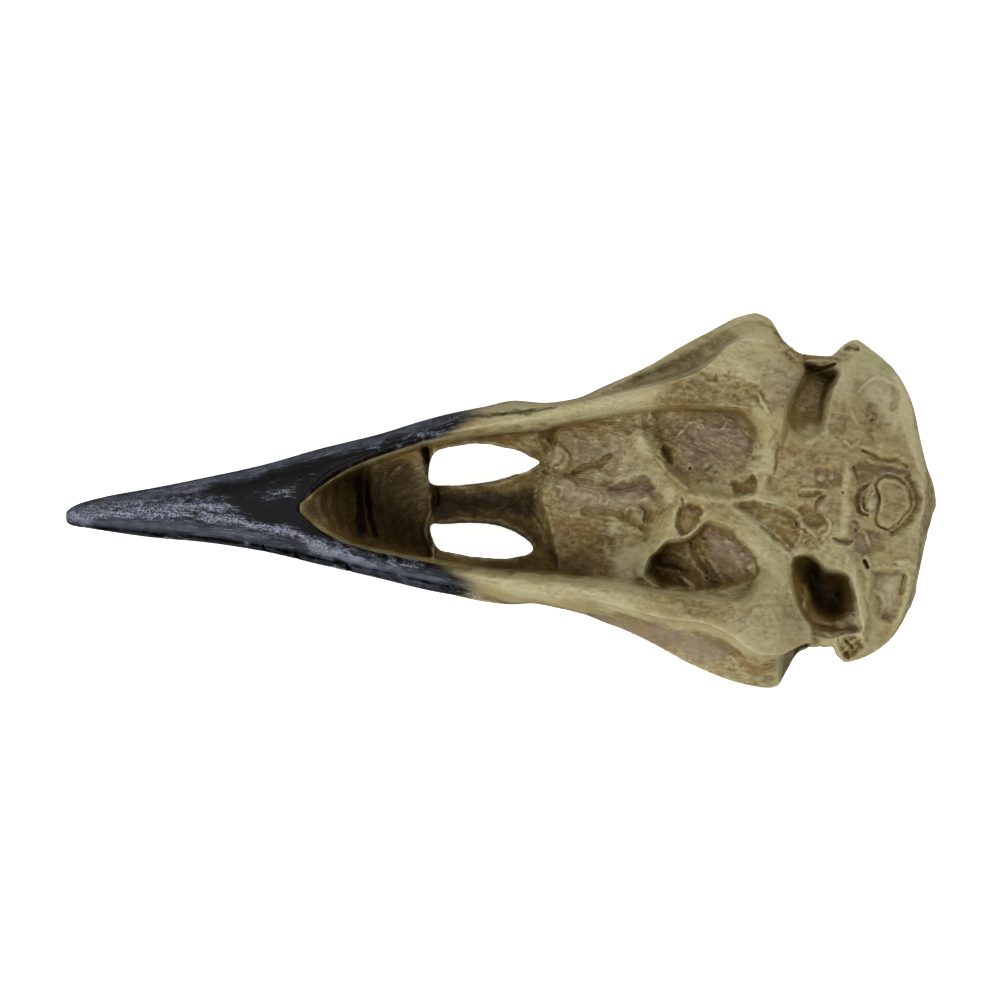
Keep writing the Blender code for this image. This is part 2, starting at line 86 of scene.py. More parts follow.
# Depths and heights on the underside, mm
HOLLOW_UP_DEPTH = (0.6, 2.2)  # all over, and more at its deepest place
HOLLOW_LO_DEPTH = (0.9, 2.7, 1.0)   # all over, more in front, and more at its deepest place
EAR_UP_DEPTH = 3.6
EAR_LO_DEPTH = 2.2
EAR_CORE_DEPTH = 3.6
NUCHAL_DROP = 2.4             # step down past the edge of the nape
BACK_DROP = 3.2               # slope behind it
PLATE_RISE = 3.8              # how far the plate rises beside the bar
WING_DROP = 4.6               # sides of the base below its middle
CHEEK_END_Z = 13.5            # height at which the hollow cheek ends

# Outline of the plan, as (u, v): the +Y side and the -Y side
OUT_UP = [(64, 516.5), (66, 512), (72, 507), (85, 502), (110, 496), (155, 488), (200, 479), (260, 466),
          (320, 449), (380, 434), (425, 420), (455, 412), (485, 406), (515, 400), (545, 402), (575, 398),
          (605, 385), (650, 364), (680, 346), (710, 330), (740, 315), (755, 312), (768, 316), (785, 340),
          (800, 352), (830, 355), (845, 343), (856, 338), (873, 349), (890, 363), (900, 375), (908, 390),
          (914, 406), (921, 438), (928, 467), (935, 487), (937, 501)]
OUT_LO = [(64, 517.5), (66, 522), (72, 525), (85, 527), (110, 531), (155, 537), (200, 541), (260, 550),
          (320, 564), (380, 578), (425, 589), (455, 595), (485, 602), (515, 605), (530, 604), (560, 609),
          (590, 617), (604, 623), (620, 629), (650, 643), (695, 667), (740, 684), (768, 689), (777, 687),
          (787, 672), (799, 652), (815, 646), (832, 646), (838, 655), (845, 663), (860, 660), (875, 653),
          (890, 641), (900, 628), (914, 597), (922, 562), (928, 534), (933, 515), (937, 502)]

# Ridge along the lower bill, (u, v)
GONYS_V = [(64, 517), (160, 512), (300, 507)]

# Ledge of the upper bill below the lower one, on the -Y side: (u, width)
LEDGE = [(64, 1.5), (110, 3.5), (180, 4.5), (260, 5), (350, 7), (430, 9), (465, 8), (520, 0)]

# Lower jaw: outer rim and inner edge of each branch, (u, v)
RIM_UP = [(296, 505), (312, 486), (330, 470), (360, 456), (400, 441), (430, 433), (480, 423), (540, 411),
          (600, 397), (640, 388), (680, 378), (700, 370), (715, 358), (730, 344), (750, 337), (803, 350)]
IN_UP = [(296, 507), (320, 487), (350, 468), (400, 449), (430, 440), (480, 432), (540, 425), (600, 414),
         (640, 407), (680, 404), (740, 406), (803, 410)]
RIM_LO = [(296, 511), (312, 530), (330, 541), (360, 555), (400, 566), (430, 572), (480, 580), (540, 591),
          (600, 602), (640, 613), (672, 620), (700, 623), (720, 630), (736, 640), (750, 650), (764, 655),
          (780, 655), (794, 649), (806, 643)]
IN_LO = [(296, 509), (320, 530), (350, 545), (400, 557), (440, 564), (500, 572), (560, 577), (620, 586),
         (655, 594), (700, 600), (750, 604), (803, 606)]
JAW_END = [(330, 800), (362, 803), (370, 804), (382, 799), (398, 791), (412, 787), (432, 784), (470, 776),
           (500, 775), (530, 780), (555, 786), (590, 793), (606, 798), (618, 805), (627, 812), (641, 812),
           (655, 806), (670, 800)]

# Heights in mm along u, and half the width of the bar between the nostrils
BILL_EDGE_Z = [(64, 9.0), (181, 9.6), (318, 11), (455, 12.8), (545, 14.6), (650, 17.6), (755, 19.2),
               (775, 18.6)]
GONYS_Z = [(64, 9.3), (72, 10.2), (85, 10.9), (133, 12.2), (198, 13.7), (262, 15.2), (300, 16.4)]
JAW_RIM_Z = [(296, 16.4), (400, 18.6), (500, 21.4), (600, 24.6), (740, 29.0), (772, 28.4), (794, 26.8),
             (812, 24.6)]
SPOON_Z = [(296, 16.2), (318, 14.4), (335, 12.0), (352, 9.3), (366, 7.6), (380, 8.0), (405, 9.6),
           (428, 11.0), (431, 10.8), (434, 8.4), (480, 8.2), (505, 9.4), (525, 11.4), (541, 13.6),
           (552, 14.6)]
BAR_HALF = [(430, 19), (470, 19), (500, 23), (520, 30), (545, 45), (560, 60)]   # cells
SHEET_Z = [(540, 14.8), (580, 16.0), (640, 18.2), (680, 20.6)]
BASE_Z = [(640, 21.0), (685, 22.8), (760, 23.2), (830, 22.6), (865, 21.0), (900, 19.0), (918, 17.8),
          (937, 17.4)]

# Crown, by X in mm: its lowest line, the half width of the roof and the height of the roof's edge
CULMEN_Z = [(-47.5, 8.2), (-46.3, 6.6), (-44, 5.0), (-40, 3.2), (-33, 1.2), (-26, 0.2), (-20, 0.0),
            (-12, 0.5), (-6, 1.5), (0, 2.8), (6, 2.7), (12, 1.7), (18, 0.6), (24, 0.0), (31, 0.3),
            (37, 2.0), (42, 5.2), (45, 7.4), (47.5, 8.6)]
ROOF_HALF = [(-47.5, 30), (0, 30), (2.5, 10.2), (6, 8.6), (10, 8.0), (14, 8.4), (18, 10.2), (22, 13.2),
             (25, 15.0), (28, 16.0), (32, 15.9), (36, 15.7), (40, 14.6), (44, 11.2), (46, 8), (47.5, 4)]
ROOF_EDGE_Z = [(-47.5, 8.6), (-35, 9.1), (-20, 10.4), (-8, 11.4), (-2, 8.5), (3, 5.0), (8, 3.4), (14, 2.4),
               (20, 2.8), (25, 5.4), (29, 8.6), (34, 9.6), (42, 9.8), (47.5, 9.0)]

# Openings and hollows of the plan, (u, v)
NOSTRIL_UP = [(428, 471), (431, 457), (440, 449), (460, 444.5), (478, 442.5), (500, 445), (520, 450),
              (533, 457), (541, 462.5), (530, 470), (515, 475), (490, 482), (460, 485), (432, 484)]
NOSTRIL_LO = [(430, 526), (445, 523.5), (475, 522), (495, 525), (515, 532), (528, 540), (534, 549),
              (527, 555), (505, 559.5), (480, 558.5), (455, 554), (437, 548)]
FOSSA_UP = [(648, 420), (660, 409), (677, 405), (700, 404), (720, 406), (742, 410), (754, 418), (760, 434),
            (757, 456), (749, 472), (752, 488), (735, 494), (713, 493), (699, 489), (683, 485), (675, 478),
            (667, 467), (659, 455), (652, 438)]
FOSSA_LO = [(668, 544), (660, 552), (651, 561), (648, 575), (662, 585), (682, 590), (702, 591), (728, 587),
            (742, 582), (755, 575), (757, 567), (754, 556), (742, 543), (728, 531), (717, 526), (708, 524),
            (699, 532), (690, 538), (680, 541)]
EAR_UP = [(806, 367), (820, 369), (836, 372), (829, 388), (825, 406), (822, 428), (808, 440),
          (794, 436), (788, 420), (792, 398), (802, 380)]
EAR_LO = [(795, 561), (808, 557), (817, 563), (825, 571), (840, 574), (849, 580), (854, 598), (858, 616),
          (859, 630), (838, 633), (815, 629), (804, 616), (796, 598), (793, 580)]
EAR_CORE = [(800, 566), (812, 564), (822, 574), (838, 578), (846, 590), (846, 608), (834, 616), (820, 612),
            (808, 596)]
SHEET_FRONT = [(556, 440), (550, 465), (542, 485), (541, 500), (546, 515), (551, 535), (556, 560)]
NUCHAL_EDGE = [(872, 338), (886, 364), (900, 381), (910, 398), (915, 420), (917, 440), (919, 458),
               (924, 476), (926, 492), (925, 510), (921, 530), (919, 555), (917, 573), (912, 592),
               (906, 609), (899, 627), (888, 645)]


# ---- smooth lines and masks ----
def curve(stations, x):
    """Value at x of the smooth line through (x, value) stations, without overshoot."""
    xs, ys = np.array(stations, float).T
    h = np.diff(xs)
    d = np.diff(ys) / h
    m = np.zeros_like(ys)
    same = d[:-1] * d[1:] > 0
    w1, w2 = 2 * h[1:] + h[:-1], h[1:] + 2 * h[:-1]
    m[1:-1][same] = ((w1 + w2)[same]) / (w1[same] / d[:-1][same] + w2[same] / d[1:][same])
    m[0], m[-1] = d[0], d[-1]
    x = np.clip(x, xs[0], xs[-1])
    i = np.clip(np.searchsorted(xs, x) - 1, 0, len(h) - 1)
    t = (x - xs[i]) / h[i]
    return ((1 + 2 * t) * (1 - t) ** 2 * ys[i] + t * (1 - t) ** 2 * h[i] * m[i]
            + t * t * (3 - 2 * t) * ys[i + 1] + t * t * (t - 1) * h[i] * m[i + 1])


def step(a, b, t):
    """0 at a, 1 at b, and smooth between."""
    t = np.clip((t - a) / (b - a), 0, 1)
    return t * t * (3 - 2 * t)


def span(a, b, c, d):
    """Four points of the smooth curve from b towards c, between the neighbours a and d."""
    return [0.5 * (2 * b + (c - a) * t + (2 * a - 5 * b + 4 * c - d) * t * t
                   + (3 * b - a - 3 * c + d) * t ** 3) for t in (0, 0.25, 0.5, 0.75)]


def rounded(points):
    """Closed smooth loop through the points."""
    p = np.array(points, float)
    spans = zip(np.roll(p, 1, axis=0), p, np.roll(p, -1, axis=0), np.roll(p, -2, axis=0))
    return np.array([point for ends in spans for point in span(*ends)])


def smooth_line(points):
    """Open smooth line through the points."""
    p = np.array(points, float)
    p = np.concatenate([p[:1], p, p[-1:]])
    spans = zip(p, p[1:], p[2:], p[3:])
    return np.array([point for ends in spans for point in span(*ends)] + [p[-1]])


def patch(points, u, v, soft):
    """1 inside a rounded loop, falling to 0 across `soft` cells about its edge."""
    line = rounded(points)
    u, v = np.broadcast_arrays(u, v)
    low, high = line.min(0) - soft, line.max(0) + soft
    near = (u > low[0]) & (u < high[0]) & (v > low[1]) & (v < high[1])
    p, q = u[near], v[near]
    far = np.full(p.shape, 1e9)
    inside = np.zeros(p.shape, bool)
    for a, b in zip(line, np.roll(line, -1, axis=0)):
        d = b - a
        t = np.clip(((p - a[0]) * d[0] + (q - a[1]) * d[1]) / max(d @ d, 1e-9), 0, 1)
        far = np.minimum(far, np.hypot(p - a[0] - t * d[0], q - a[1] - t * d[1]))
        if a[1] != b[1]:
            crosses = (a[1] > q) != (b[1] > q)
            inside ^= crosses & (p < d[0] * (q - a[1]) / d[1] + a[0])
    mask = np.zeros(u.shape)
    mask[near] = step(-soft / 2, soft / 2, np.where(inside, far, -far))
    return mask


def bump(u, v, cu, cv, ru, rv, turn=0.0):
    """Oval bump of height 1 about (cu, cv), with its first axis turned by `turn` degrees."""
    c, s = np.cos(np.radians(turn)), np.sin(np.radians(turn))
    a, b = u - cu, v - cv
    return np.clip(1 - ((a * c + b * s) / ru) ** 2 - ((b * c - a * s) / rv) ** 2, 0, 1) ** 2


# ---- underside of the head: heights in mm over the plan ----
def bill_z(u, v):
    """Lower bill, from its middle ridge down to both edges."""
    up = curve(OUT_UP, u)
    lo = curve(OUT_LO, u) - curve(LEDGE, u)
    ridge = curve(GONYS_V, u)
    half = np.where(v < ridge, ridge - up, lo - ridge)
    t = np.abs(v - ridge) / np.maximum(half, 0.5)
    edge, top = curve(BILL_EDGE_Z, u), curve(GONYS_Z, u)
    flat = 2 + 1.4 * step(*FLAT_TOP, u)
    return edge + (top - edge) * (1 - np.clip(t, 0, 1) ** flat) ** 0.75


def side_z(u, v):
    """Outer faces of the jaw, and behind them the hollow cheek with its lip."""
    up, lo, ru, rl = (curve(c, u) for c in (OUT_UP, OUT_LO, RIM_UP, RIM_LO))
    lo = lo - curve(LEDGE, u)
    edge, rim = curve(BILL_EDGE_Z, u), curve(JAW_RIM_Z, u)
    s = np.where(v < MID_V, (v - up) / np.maximum(ru - up, 1), (lo - v) / np.maximum(lo - rl, 1))
    s = np.clip(s, 0, 1)
    face = edge + (rim - edge) * (1 - (1 - s) ** 2.2) ** 0.7
    # a lip along the cheek's outer edge and a groove inside it, then the hollow's rise to the rim
    lip = 0.25 * step(0, 0.2, s) - 0.3 * np.sin(np.pi * np.clip((s - 0.2) / 0.6, 0, 1)) ** 2
    hollow_up = edge + lip + (rim - edge - 0.6) * (0.04 * s + 0.96 * step(0.76, 1.04, s) ** 1.2)
    hollow_lo = edge + (rim - edge - 0.8) * (0.34 * s + 0.66 * s ** 2.6)
    cheek = np.where(v < MID_V, hollow_up, hollow_lo)
    neck = step(*CHEEK_END, u)
    cheek = cheek * (1 - neck) + CHEEK_END_Z * neck
    far = step(*CHEEK_FROM, u)
    return face * (1 - far) + cheek * far


def mouth_z(u, v):
    """Between the jaw branches: hollow of the bill, bar between the nostrils and the rear palate."""
    across = np.abs(v - MID_V - 1.5)
    # lines across the spoon bow forward towards its edges and run a little askew
    bent = u + 0.0015 * (v - MID_V) ** 2 - 0.12 * (v - MID_V)
    bar_half = curve(BAR_HALF, u)
    front = curve(SPOON_Z, bent) + PLATE_RISE * step(*PLATE_STEP, u) * step(0, 34, across - bar_half)
    sheet = curve(SHEET_Z, u) + 1.2 * step(30, 75, across)
    line = [(b, a) for a, b in SHEET_FRONT]     # the front edge, by v
    w = step(-4, 3, u - curve(line, v))
    return front * (1 - w) + sheet * w


def base_z(u, v):
    """Base of the braincase."""
    up, lo = curve(OUT_UP, u), curve(OUT_LO, u)
    half = np.where(v < MID_V, MID_V - up, lo - MID_V)
    t = np.clip(np.abs(v - MID_V) / np.maximum(half, 1), 0, 1)
    return curve(BASE_Z, u) - WING_DROP * step(*WING_FALL, u) * step(*WING_END, u) * t ** 2


def ventral_z(u, v):
    """Height in mm of the underside of the head over the plan."""
    k = step(*BASE_FROM, u)
    z = mouth_z(u, v) * (1 - k) + base_z(u, v) * k
    all_over, more = HOLLOW_UP_DEPTH
    z = z - patch(FOSSA_UP, u, v, 22) * (all_over + more * bump(u, v, *DEEP_UP))
    all_over, front, more = HOLLOW_LO_DEPTH
    depth = all_over + front * step(*FLOOR_LO, u) + more * bump(u, v, *DEEP_LO)
    z = z - patch(FOSSA_LO, u, v, 9) * depth
    # lower jaw
    upper = v < MOUTH_V
    ru, iu, il, rl = (curve(c, u) for c in (RIM_UP, IN_UP, IN_LO, RIM_LO))
    end = step(-2.5, 3, curve(JAW_END, v) - u)
    band = np.where(upper, (v - ru) / np.maximum(iu - ru, 1), (rl - v) / np.maximum(rl - il, 1))
    band = np.clip(band, 0, 1)
    crest = curve(JAW_RIM_Z, u) + 0.35 * np.sin(np.pi * band) - 1.2 * band ** 2
    wall = 7 + 45 * step(*JAW_WIDENS, u)
    inward = np.where(upper, v - iu, il - v)
    keep = (1 - step(0, 1, inward / wall)) * end
    z = np.where(u > FORK[0], z + np.maximum(crest - z, 0) * keep, z)
    outward = np.where(upper, ru - v, v - rl)
    side = side_z(u, v)
    fork = step(*FORK, u)
    side = bill_z(u, v) * (1 - fork) + side * fork
    z = np.where((outward > 0) & (u < JAW_BACK) & (u > FORK[0]), z * (1 - end) + side * end, z)
    # bill, ears and the step down past the edge of the nape
    z = np.where(u < FORK[0] + 1, bill_z(u, v), z)
    z = z - EAR_UP_DEPTH * patch(EAR_UP, u, v, 12) * step(*EAR_UP_FADE, v)
    z = z - EAR_LO_DEPTH * patch(EAR_LO, u, v, 8) - EAR_CORE_DEPTH * patch(EAR_CORE, u, v, 20)
    past = u - curve([(b, a) for a, b in NUCHAL_EDGE], v)
    return z - NUCHAL_DROP * step(-2, 7, past) - BACK_DROP * step(3, 22, past)


# ---- side walls and crown, by X and Y in mm ----
BULGE = 0.15                  # how far a side wall swells between its edges
SOCKET_TOP = 0.80             # top of the eye socket, as a part of the wall's height
SOCKET_FLOOR = 0.8            # its lowest point above the edge of the roof
LOBES = 0.25                  # swelling of the two halves of the dome


def crown_z(x, t):
    """Height of the crown at x, with t from 0 on the middle line to 1 at the roof's edge."""
    low, edge = curve(CULMEN_Z, x), curve(ROOF_EDGE_Z, x)
    bill = 1 - step(-6, 3, x)
    back = step(18, 30, x)
    arch = 1 - np.sqrt(np.clip(1 - t ** 1.8, 0, 1))
    dome = 1 - np.clip(1 - t ** 2.4, 0, 1) ** 0.5
    f = bill * arch + (1 - bill) * ((1 - back) * t ** 3 + back * dome)
    lobes = LOBES * step(12, 22, x) * step(42, 34, x)
    return low + (edge - low) * f - lobes * np.exp(-((t - 0.33) / 0.2) ** 2)


def wall(x, outer, top, count):
    """One side wall at x, from the outline (outer, top) down to the edge of the roof: y and z runs."""
    low = min(float(curve(ROOF_EDGE_Z, x)), top - 0.5)
    roof = min(float(curve(ROOF_HALF, x)), max(outer - LEAN * (top - low), 0.6 * outer))
    s = np.linspace(0, 1, count)
    plain_y = outer + (roof - outer) * s + BULGE * np.sin(np.pi * s)
    plain_z = top + (low - top) * s
    # the eye socket is oval from the side, with its ceiling under the cheek and its floor over the roof
    open_to = np.sqrt(max(1 - ((x - SOCKET[0]) / SOCKET[1]) ** 2, 0))
    high, deep = low + SOCKET_TOP * (top - low), low + SOCKET_FLOOR
    middle = 0.5 * (high + deep)
    ceiling, floor = middle + (high - middle) * open_to, middle - (middle - deep) * open_to
    across = np.interp([ceiling + 0.5, floor - 0.4], [low, top], [roof, outer])
    inner = across.mean() + (SEPTUM - across.mean()) * step(0, 0.9, open_to)
    lip = 0.35 * across + 0.65 * inner
    run = [(outer, top), (across[0], ceiling + 0.5), (lip[0], ceiling - 0.3), (inner, ceiling - 1.2),
           (inner, floor + 1.0), (lip[1], floor + 0.3), (across[1], floor - 0.4), (roof, low)]
    ys, zs = np.array(run).T
    keys = np.linspace(0, 1, len(run))
    sunk = step(0, 0.5, open_to)
    return (plain_y + (np.interp(s, keys, ys) - plain_y) * sunk,
            plain_z + (np.interp(s, keys, zs) - plain_z) * sunk)


# ---- what is carved into the smooth shape ----
# (points, half width, height in mm)
LINES = [
    # seam along the lower edge of the bill, and its chips
    ([(84, 524), (120, 529), (200, 536), (260, 545), (300, 553), (350, 564), (400, 574), (450, 585),
      (485, 594)], 2.4, -0.5),
    ([(261, 545), (264, 552)], 2.2, -0.8),
    ([(295, 553), (298, 561)], 2.2, -0.8), ([(347, 566), (352, 574)], 2.6, -1.0),
    # seam of the cheek over the bill's root
    ([(452, 417), (480, 415), (505, 414), (530, 410), (560, 404)], 2.6, -0.7),
    # spoon of the bill: ripples
    ([(322, 489), (319, 505), (326, 524)], 5, 0.22), ([(334, 480), (331, 505), (339, 532)], 5, 0.25),
    ([(345, 474), (343, 505), (351, 538)], 5, 0.25), ([(366, 468), (362, 500), (372, 535)], 9, -0.8),
    ([(383, 470), (381, 495), (388, 530)], 4, 0.10), ([(388, 478), (398, 466)], 3, 0.15),
    # palate plate and its rim
    ([(398, 498), (412, 496), (426, 499)], 4, -0.18), ([(395, 512), (415, 509), (427, 512)], 4, -0.15),
    ([(428, 468), (429, 482), (433, 490), (428, 500), (431, 508), (426, 520), (425, 535), (431, 550)], 4,
      0.45),
    # bar between the nostrils
    ([(436, 485), (470, 486), (505, 482), (525, 472), (538, 465)], 5, 0.30),
    ([(436, 522), (470, 519), (500, 522), (520, 532), (533, 545)], 5, 0.30),
    ([(434, 488), (437, 495), (434, 505)], 4, -0.7), ([(442, 497), (480, 499), (510, 500)], 8, -0.25),
    ([(497, 515), (505, 506), (516, 503), (524, 497), (536, 494)], 3, -0.25),
    ([(524, 503), (530, 512), (538, 520), (545, 531)], 3, -0.25),
    ([(545, 470), (548, 478), (541, 486), (540, 500), (543, 512)], 5, -0.2),
    # rear palate
    ([(562, 482), (580, 490), (600, 497), (622, 500), (645, 499)], 17, 0.9),
    ([(598, 491), (602, 497), (599, 503)], 3, 0.14), ([(606, 492), (610, 498), (607, 504)], 3, 0.12),
    ([(545, 441), (560, 448), (567, 456), (565, 463), (556, 467)], 6, 0.35),
    ([(575, 472), (590, 466), (603, 461), (611, 456)], 6, -0.35),
    ([(564, 478), (572, 481), (574, 488)], 4, 0.25), ([(556, 485), (562, 490), (561, 497)], 4, 0.3),
    ([(630, 509), (629, 518), (634, 526)], 4, -0.35),
    ([(612, 489), (628, 486), (641, 480), (652, 487)], 8, -0.4),
    ([(640, 490), (647, 495), (640, 501)], 3, 0.15),
    ([(582, 512), (600, 510), (620, 514), (640, 528)], 7, -0.3),
    ([(563, 545), (575, 556), (592, 545)], 4, -0.1),
    # arms of the X between the two hollows behind the palate
    ([(657, 457), (667, 468), (676, 480), (686, 487)], 3.5, 0.35),
    ([(650, 415), (656, 436), (664, 458)], 8, 0.3), ([(690, 494), (712, 498), (738, 500)], 8, 0.35),
    ([(676, 508), (664, 530), (650, 552), (640, 575)], 12, 0.5),
    ([(700, 512), (722, 520), (748, 536), (770, 556), (782, 580)], 12, 0.45),
    ([(682, 497), (685, 504)], 3, -0.5),
    ([(744, 500), (768, 502), (796, 512), (803, 527), (796, 545)], 3, 0.22),
    ([(760, 527), (778, 540), (790, 552), (794, 562)], 4, -0.3),
    ([(780, 443), (777, 458), (774, 474)], 3, -0.22),
    # upper hollow
    ([(678, 434), (686, 426), (694, 421), (704, 419)], 4, 0.16),
    ([(712, 428), (722, 429), (726, 423)], 3, 0.16), ([(705, 470), (713, 464)], 3, -0.25),
    ([(664, 446), (667, 453), (671, 461)], 6, -0.4),
    # lower hollow
    ([(716, 530), (712, 550), (716, 570), (724, 584)], 8, 0.22),
    ([(726, 536), (732, 554), (742, 572)], 7, 0.15), ([(692, 543), (695, 556), (706, 574)], 5, -0.4),
    ([(700, 534), (706, 552), (718, 572)], 5, 0.2), ([(656, 563), (668, 566), (680, 570)], 4, -0.4),
    ([(680, 578), (688, 584), (693, 590)], 3, 0.35), ([(708, 524), (700, 533), (706, 538)], 3, -0.2),
    # jaw plates
    ([(757, 393), (763, 403), (770, 414)], 3, 0.30), ([(690, 372), (720, 386), (756, 392)], 8, 0.2),
    ([(770, 425), (776, 433), (770, 445)], 3, -0.15),
    # braincase, middle
    ([(848, 464), (849, 485), (847, 505), (845, 530)], 10, 0.40),
    ([(855, 466), (855, 476), (857, 484)], 3, -0.3), ([(801, 489), (815, 489), (828, 492)], 3, 0.30),
    ([(801, 494), (820, 495)], 4, -0.35), ([(817, 509), (818, 501), (824, 497)], 3, -0.45),
    ([(798, 519), (808, 529), (817, 538)], 3, 0.30), ([(797, 523), (806, 532)], 3, -0.3),
    ([(824, 516), (830, 526), (826, 535), (822, 540)], 3, 0.30),
    ([(834, 538), (843, 543), (852, 540)], 4, -0.45), ([(858, 528), (866, 534), (869, 545)], 3, 0.25),
    ([(853, 522), (858, 526), (855, 530)], 3, -0.3), ([(864, 561), (868, 569)], 3, -0.8),
    ([(872, 484), (875, 490), (872, 496)], 2.6, 0.4),
    # condyle and the plug behind it
    ([(868, 485), (860, 491), (857, 502), (860, 512), (868, 516)], 4, -0.4),
    ([(868, 490), (863, 500), (867, 511)], 3, -0.2),
    ([(877, 481), (876, 489), (879, 500), (878, 511), (877, 521), (881, 527), (889, 529)], 2.4, -0.25),
    ([(879, 480), (889, 476), (899, 478), (905, 484)], 2.6, -0.4),
    ([(905, 482), (911, 493), (911, 504), (906, 514), (899, 523)], 3, -0.35),
    ([(908, 478), (917, 490), (919, 502), (914, 516), (904, 528), (893, 533)], 8, -0.5),
    # upper wing
    ([(863, 451), (873, 456), (884, 460), (896, 459), (907, 466)], 5, -0.35),
    ([(862, 446), (874, 450), (886, 454), (898, 454)], 5, 0.35),
    ([(846, 350), (853, 348), (859, 351)], 5, -0.6),
    ([(859, 392), (868, 382), (880, 377), (893, 383)], 3.5, 0.30),
    ([(850, 409), (855, 418), (860, 427)], 3, 0.28), ([(863, 413), (864, 421)], 2.6, 0.28),
    ([(894, 388), (897, 398), (893, 408)], 6, -0.4),
    ([(800, 362), (808, 367), (817, 369), (826, 367), (836, 363)], 3.5, -1.0),
    ([(790, 352), (800, 360), (812, 360), (830, 359)], 3, 0.3),
    ([(843, 440), (852, 446), (860, 440)], 3.5, 0.25),
    # lower wing
    ([(848, 556), (855, 580), (860, 605), (863, 640)], 9, 0.5),
    ([(866, 556), (868, 572), (868, 600)], 5, 0.25), ([(869, 581), (880, 569), (900, 569)], 4, 0.3),
    ([(876, 590), (884, 600), (880, 616)], 5, 0.3), ([(904, 574), (905, 584), (902, 594)], 4, -0.3),
    ([(843, 652), (850, 645), (858, 640)], 3.5, 0.4), ([(846, 641), (853, 648)], 3, -0.5),
    ([(838, 640), (843, 650), (848, 658)], 4, -0.4), ([(814, 634), (830, 636), (842, 634)], 4, -0.5),
    ([(896, 563), (910, 561)], 4, 0.2),
]

# (points, soft edge, height in mm)
AREAS = [
    ([(678, 530), (678, 515), (684, 506), (695, 505), (702, 510), (698, 520), (691, 532), (682, 536)], 7,
      -1.0),
    ([(737, 506), (743, 501), (768, 504), (795, 513), (801, 528), (794, 550), (778, 538), (762, 527),
      (746, 514)], 10, -0.7),
    ([(733, 480), (744, 482), (752, 476), (757, 488), (750, 495), (736, 495)], 6, -0.5),
    ([(798, 507), (815, 507), (828, 520), (822, 527), (806, 527)], 7, -0.4),
    ([(799, 532), (812, 533), (824, 543), (812, 550), (800, 544)], 8, -0.35),
    ([(817, 471), (838, 470), (841, 484), (828, 487), (817, 485)], 6, -0.35),
    ([(855, 466), (880, 464), (904, 468), (908, 476), (884, 474), (872, 482), (857, 486)], 10, -0.4),
    ([(879, 482), (890, 478), (902, 482), (909, 496), (908, 510), (898, 522), (886, 527), (879, 520),
      (880, 503)], 3, 0.55),
    ([(865, 406), (878, 405), (875, 424), (873, 438), (865, 428)], 6, -0.3),
    ([(829, 404), (844, 402), (846, 418), (842, 432), (830, 428)], 9, -0.35),
    ([(860, 392), (870, 382), (884, 379), (896, 388), (898, 410), (884, 430), (872, 425), (862, 408)], 18,
      -0.7),
    ([(874, 573), (893, 571), (906, 576), (904, 594), (898, 613), (888, 622), (877, 616), (875, 600)], 8,
      -0.9),
    ([(842, 640), (856, 636), (864, 646), (856, 655), (845, 656)], 6, -0.6),
    ([(855, 530), (880, 532), (884, 548), (870, 556), (856, 550)], 9, -0.4),
    ([(626, 510), (634, 506), (644, 510), (642, 522), (634, 527), (627, 520)], 6, 0.6),
    ([(590, 397), (640, 383), (690, 362), (712, 350), (722, 344), (700, 352), (650, 372), (610, 388)], 9,
      -0.2),
    ([(660, 380), (720, 372), (752, 386), (740, 400), (690, 396)], 14, -0.25),
    ([(660, 600), (720, 604), (770, 620), (760, 640), (715, 622), (670, 614)], 12, -0.35),
]

# u, v, radius along u and v, turn in degrees, height in mm
SPOTS = [
    (645, 497, 12, 9, 0, 0.4), (651, 504, 9, 9, 0, 0.35), (636, 517, 9, 9, 0, 0.35),
    (640, 437, 16, 14, 0, 0.35), (825, 505, 9, 9, 0, 0.5), (871, 504, 8, 8.5, 0, 1.0),
    (844, 493, 2.4, 2.4, 0, -0.8), (690, 468, 2.4, 2.4, 0, -0.6), (702, 426, 7, 6, 0, 0.3),
    (702, 426, 2.2, 2.2, 0, -0.3), (681, 572, 2.4, 2.2, 0, -0.4), (707, 579, 2.4, 2.2, 0, -0.4),
    (742, 555, 4, 5, 0, 0.2), (750, 568, 6, 5, 0, 0.4), (845, 533, 12, 8, 0, 0.5),
    (822, 478, 6, 5, 0, 0.25), (832, 476, 5, 4, 0, 0.25), (829, 484, 5, 4, 0, 0.2),
    (872, 419, 2.2, 2.2, 0, -0.5), (838, 594, 3, 3, 0, -0.5), (757, 458, 8, 5, -30, -0.25),
    (886, 447, 22, 9, 8, 0.6), (862, 470, 9, 8, 0, 0.2), (812, 440, 12, 8, 0, 0.3),
    (661, 545, 12, 7, -40, 0.25), (903, 563, 9, 6, 0, 0.35), (774, 484, 10, 8, 20, -0.3),
    (686, 500, 14, 10, 0, 0.3), (766, 445, 14, 28, 0, 0.4), (572, 543, 3, 3, 0, -0.2),
    (605, 440, 14, 7, 60, -0.2), (855, 620, 8, 12, 0, 0.5), (806, 596, 7, 26, 10, 1.2),
]


# ---- fine relief ----
def stroke(points, u, v, width):
    """1 along a smooth line, falling to 0 at `width` cells from it, and thinner towards its ends."""
    line = smooth_line(points)
    far = np.full(u.shape, 1e9)
    place = np.zeros(u.shape)
    for i, (a, b) in enumerate(zip(line, line[1:])):
        d = b - a
        t = np.clip(((u - a[0]) * d[0] + (v - a[1]) * d[1]) / max(d @ d, 1e-9), 0, 1)
        gap = np.hypot(u - a[0] - t * d[0], v - a[1] - t * d[1])
        place = np.where(gap < far, (i + t) / (len(line) - 1), place)
        far = np.minimum(far, gap)
    thin = 0.6 + 0.4 * step(0, 0.2, place) * step(1, 0.8, place)
    return np.clip(1 - (far / (width * thin)) ** 2, 0, 1) ** 2


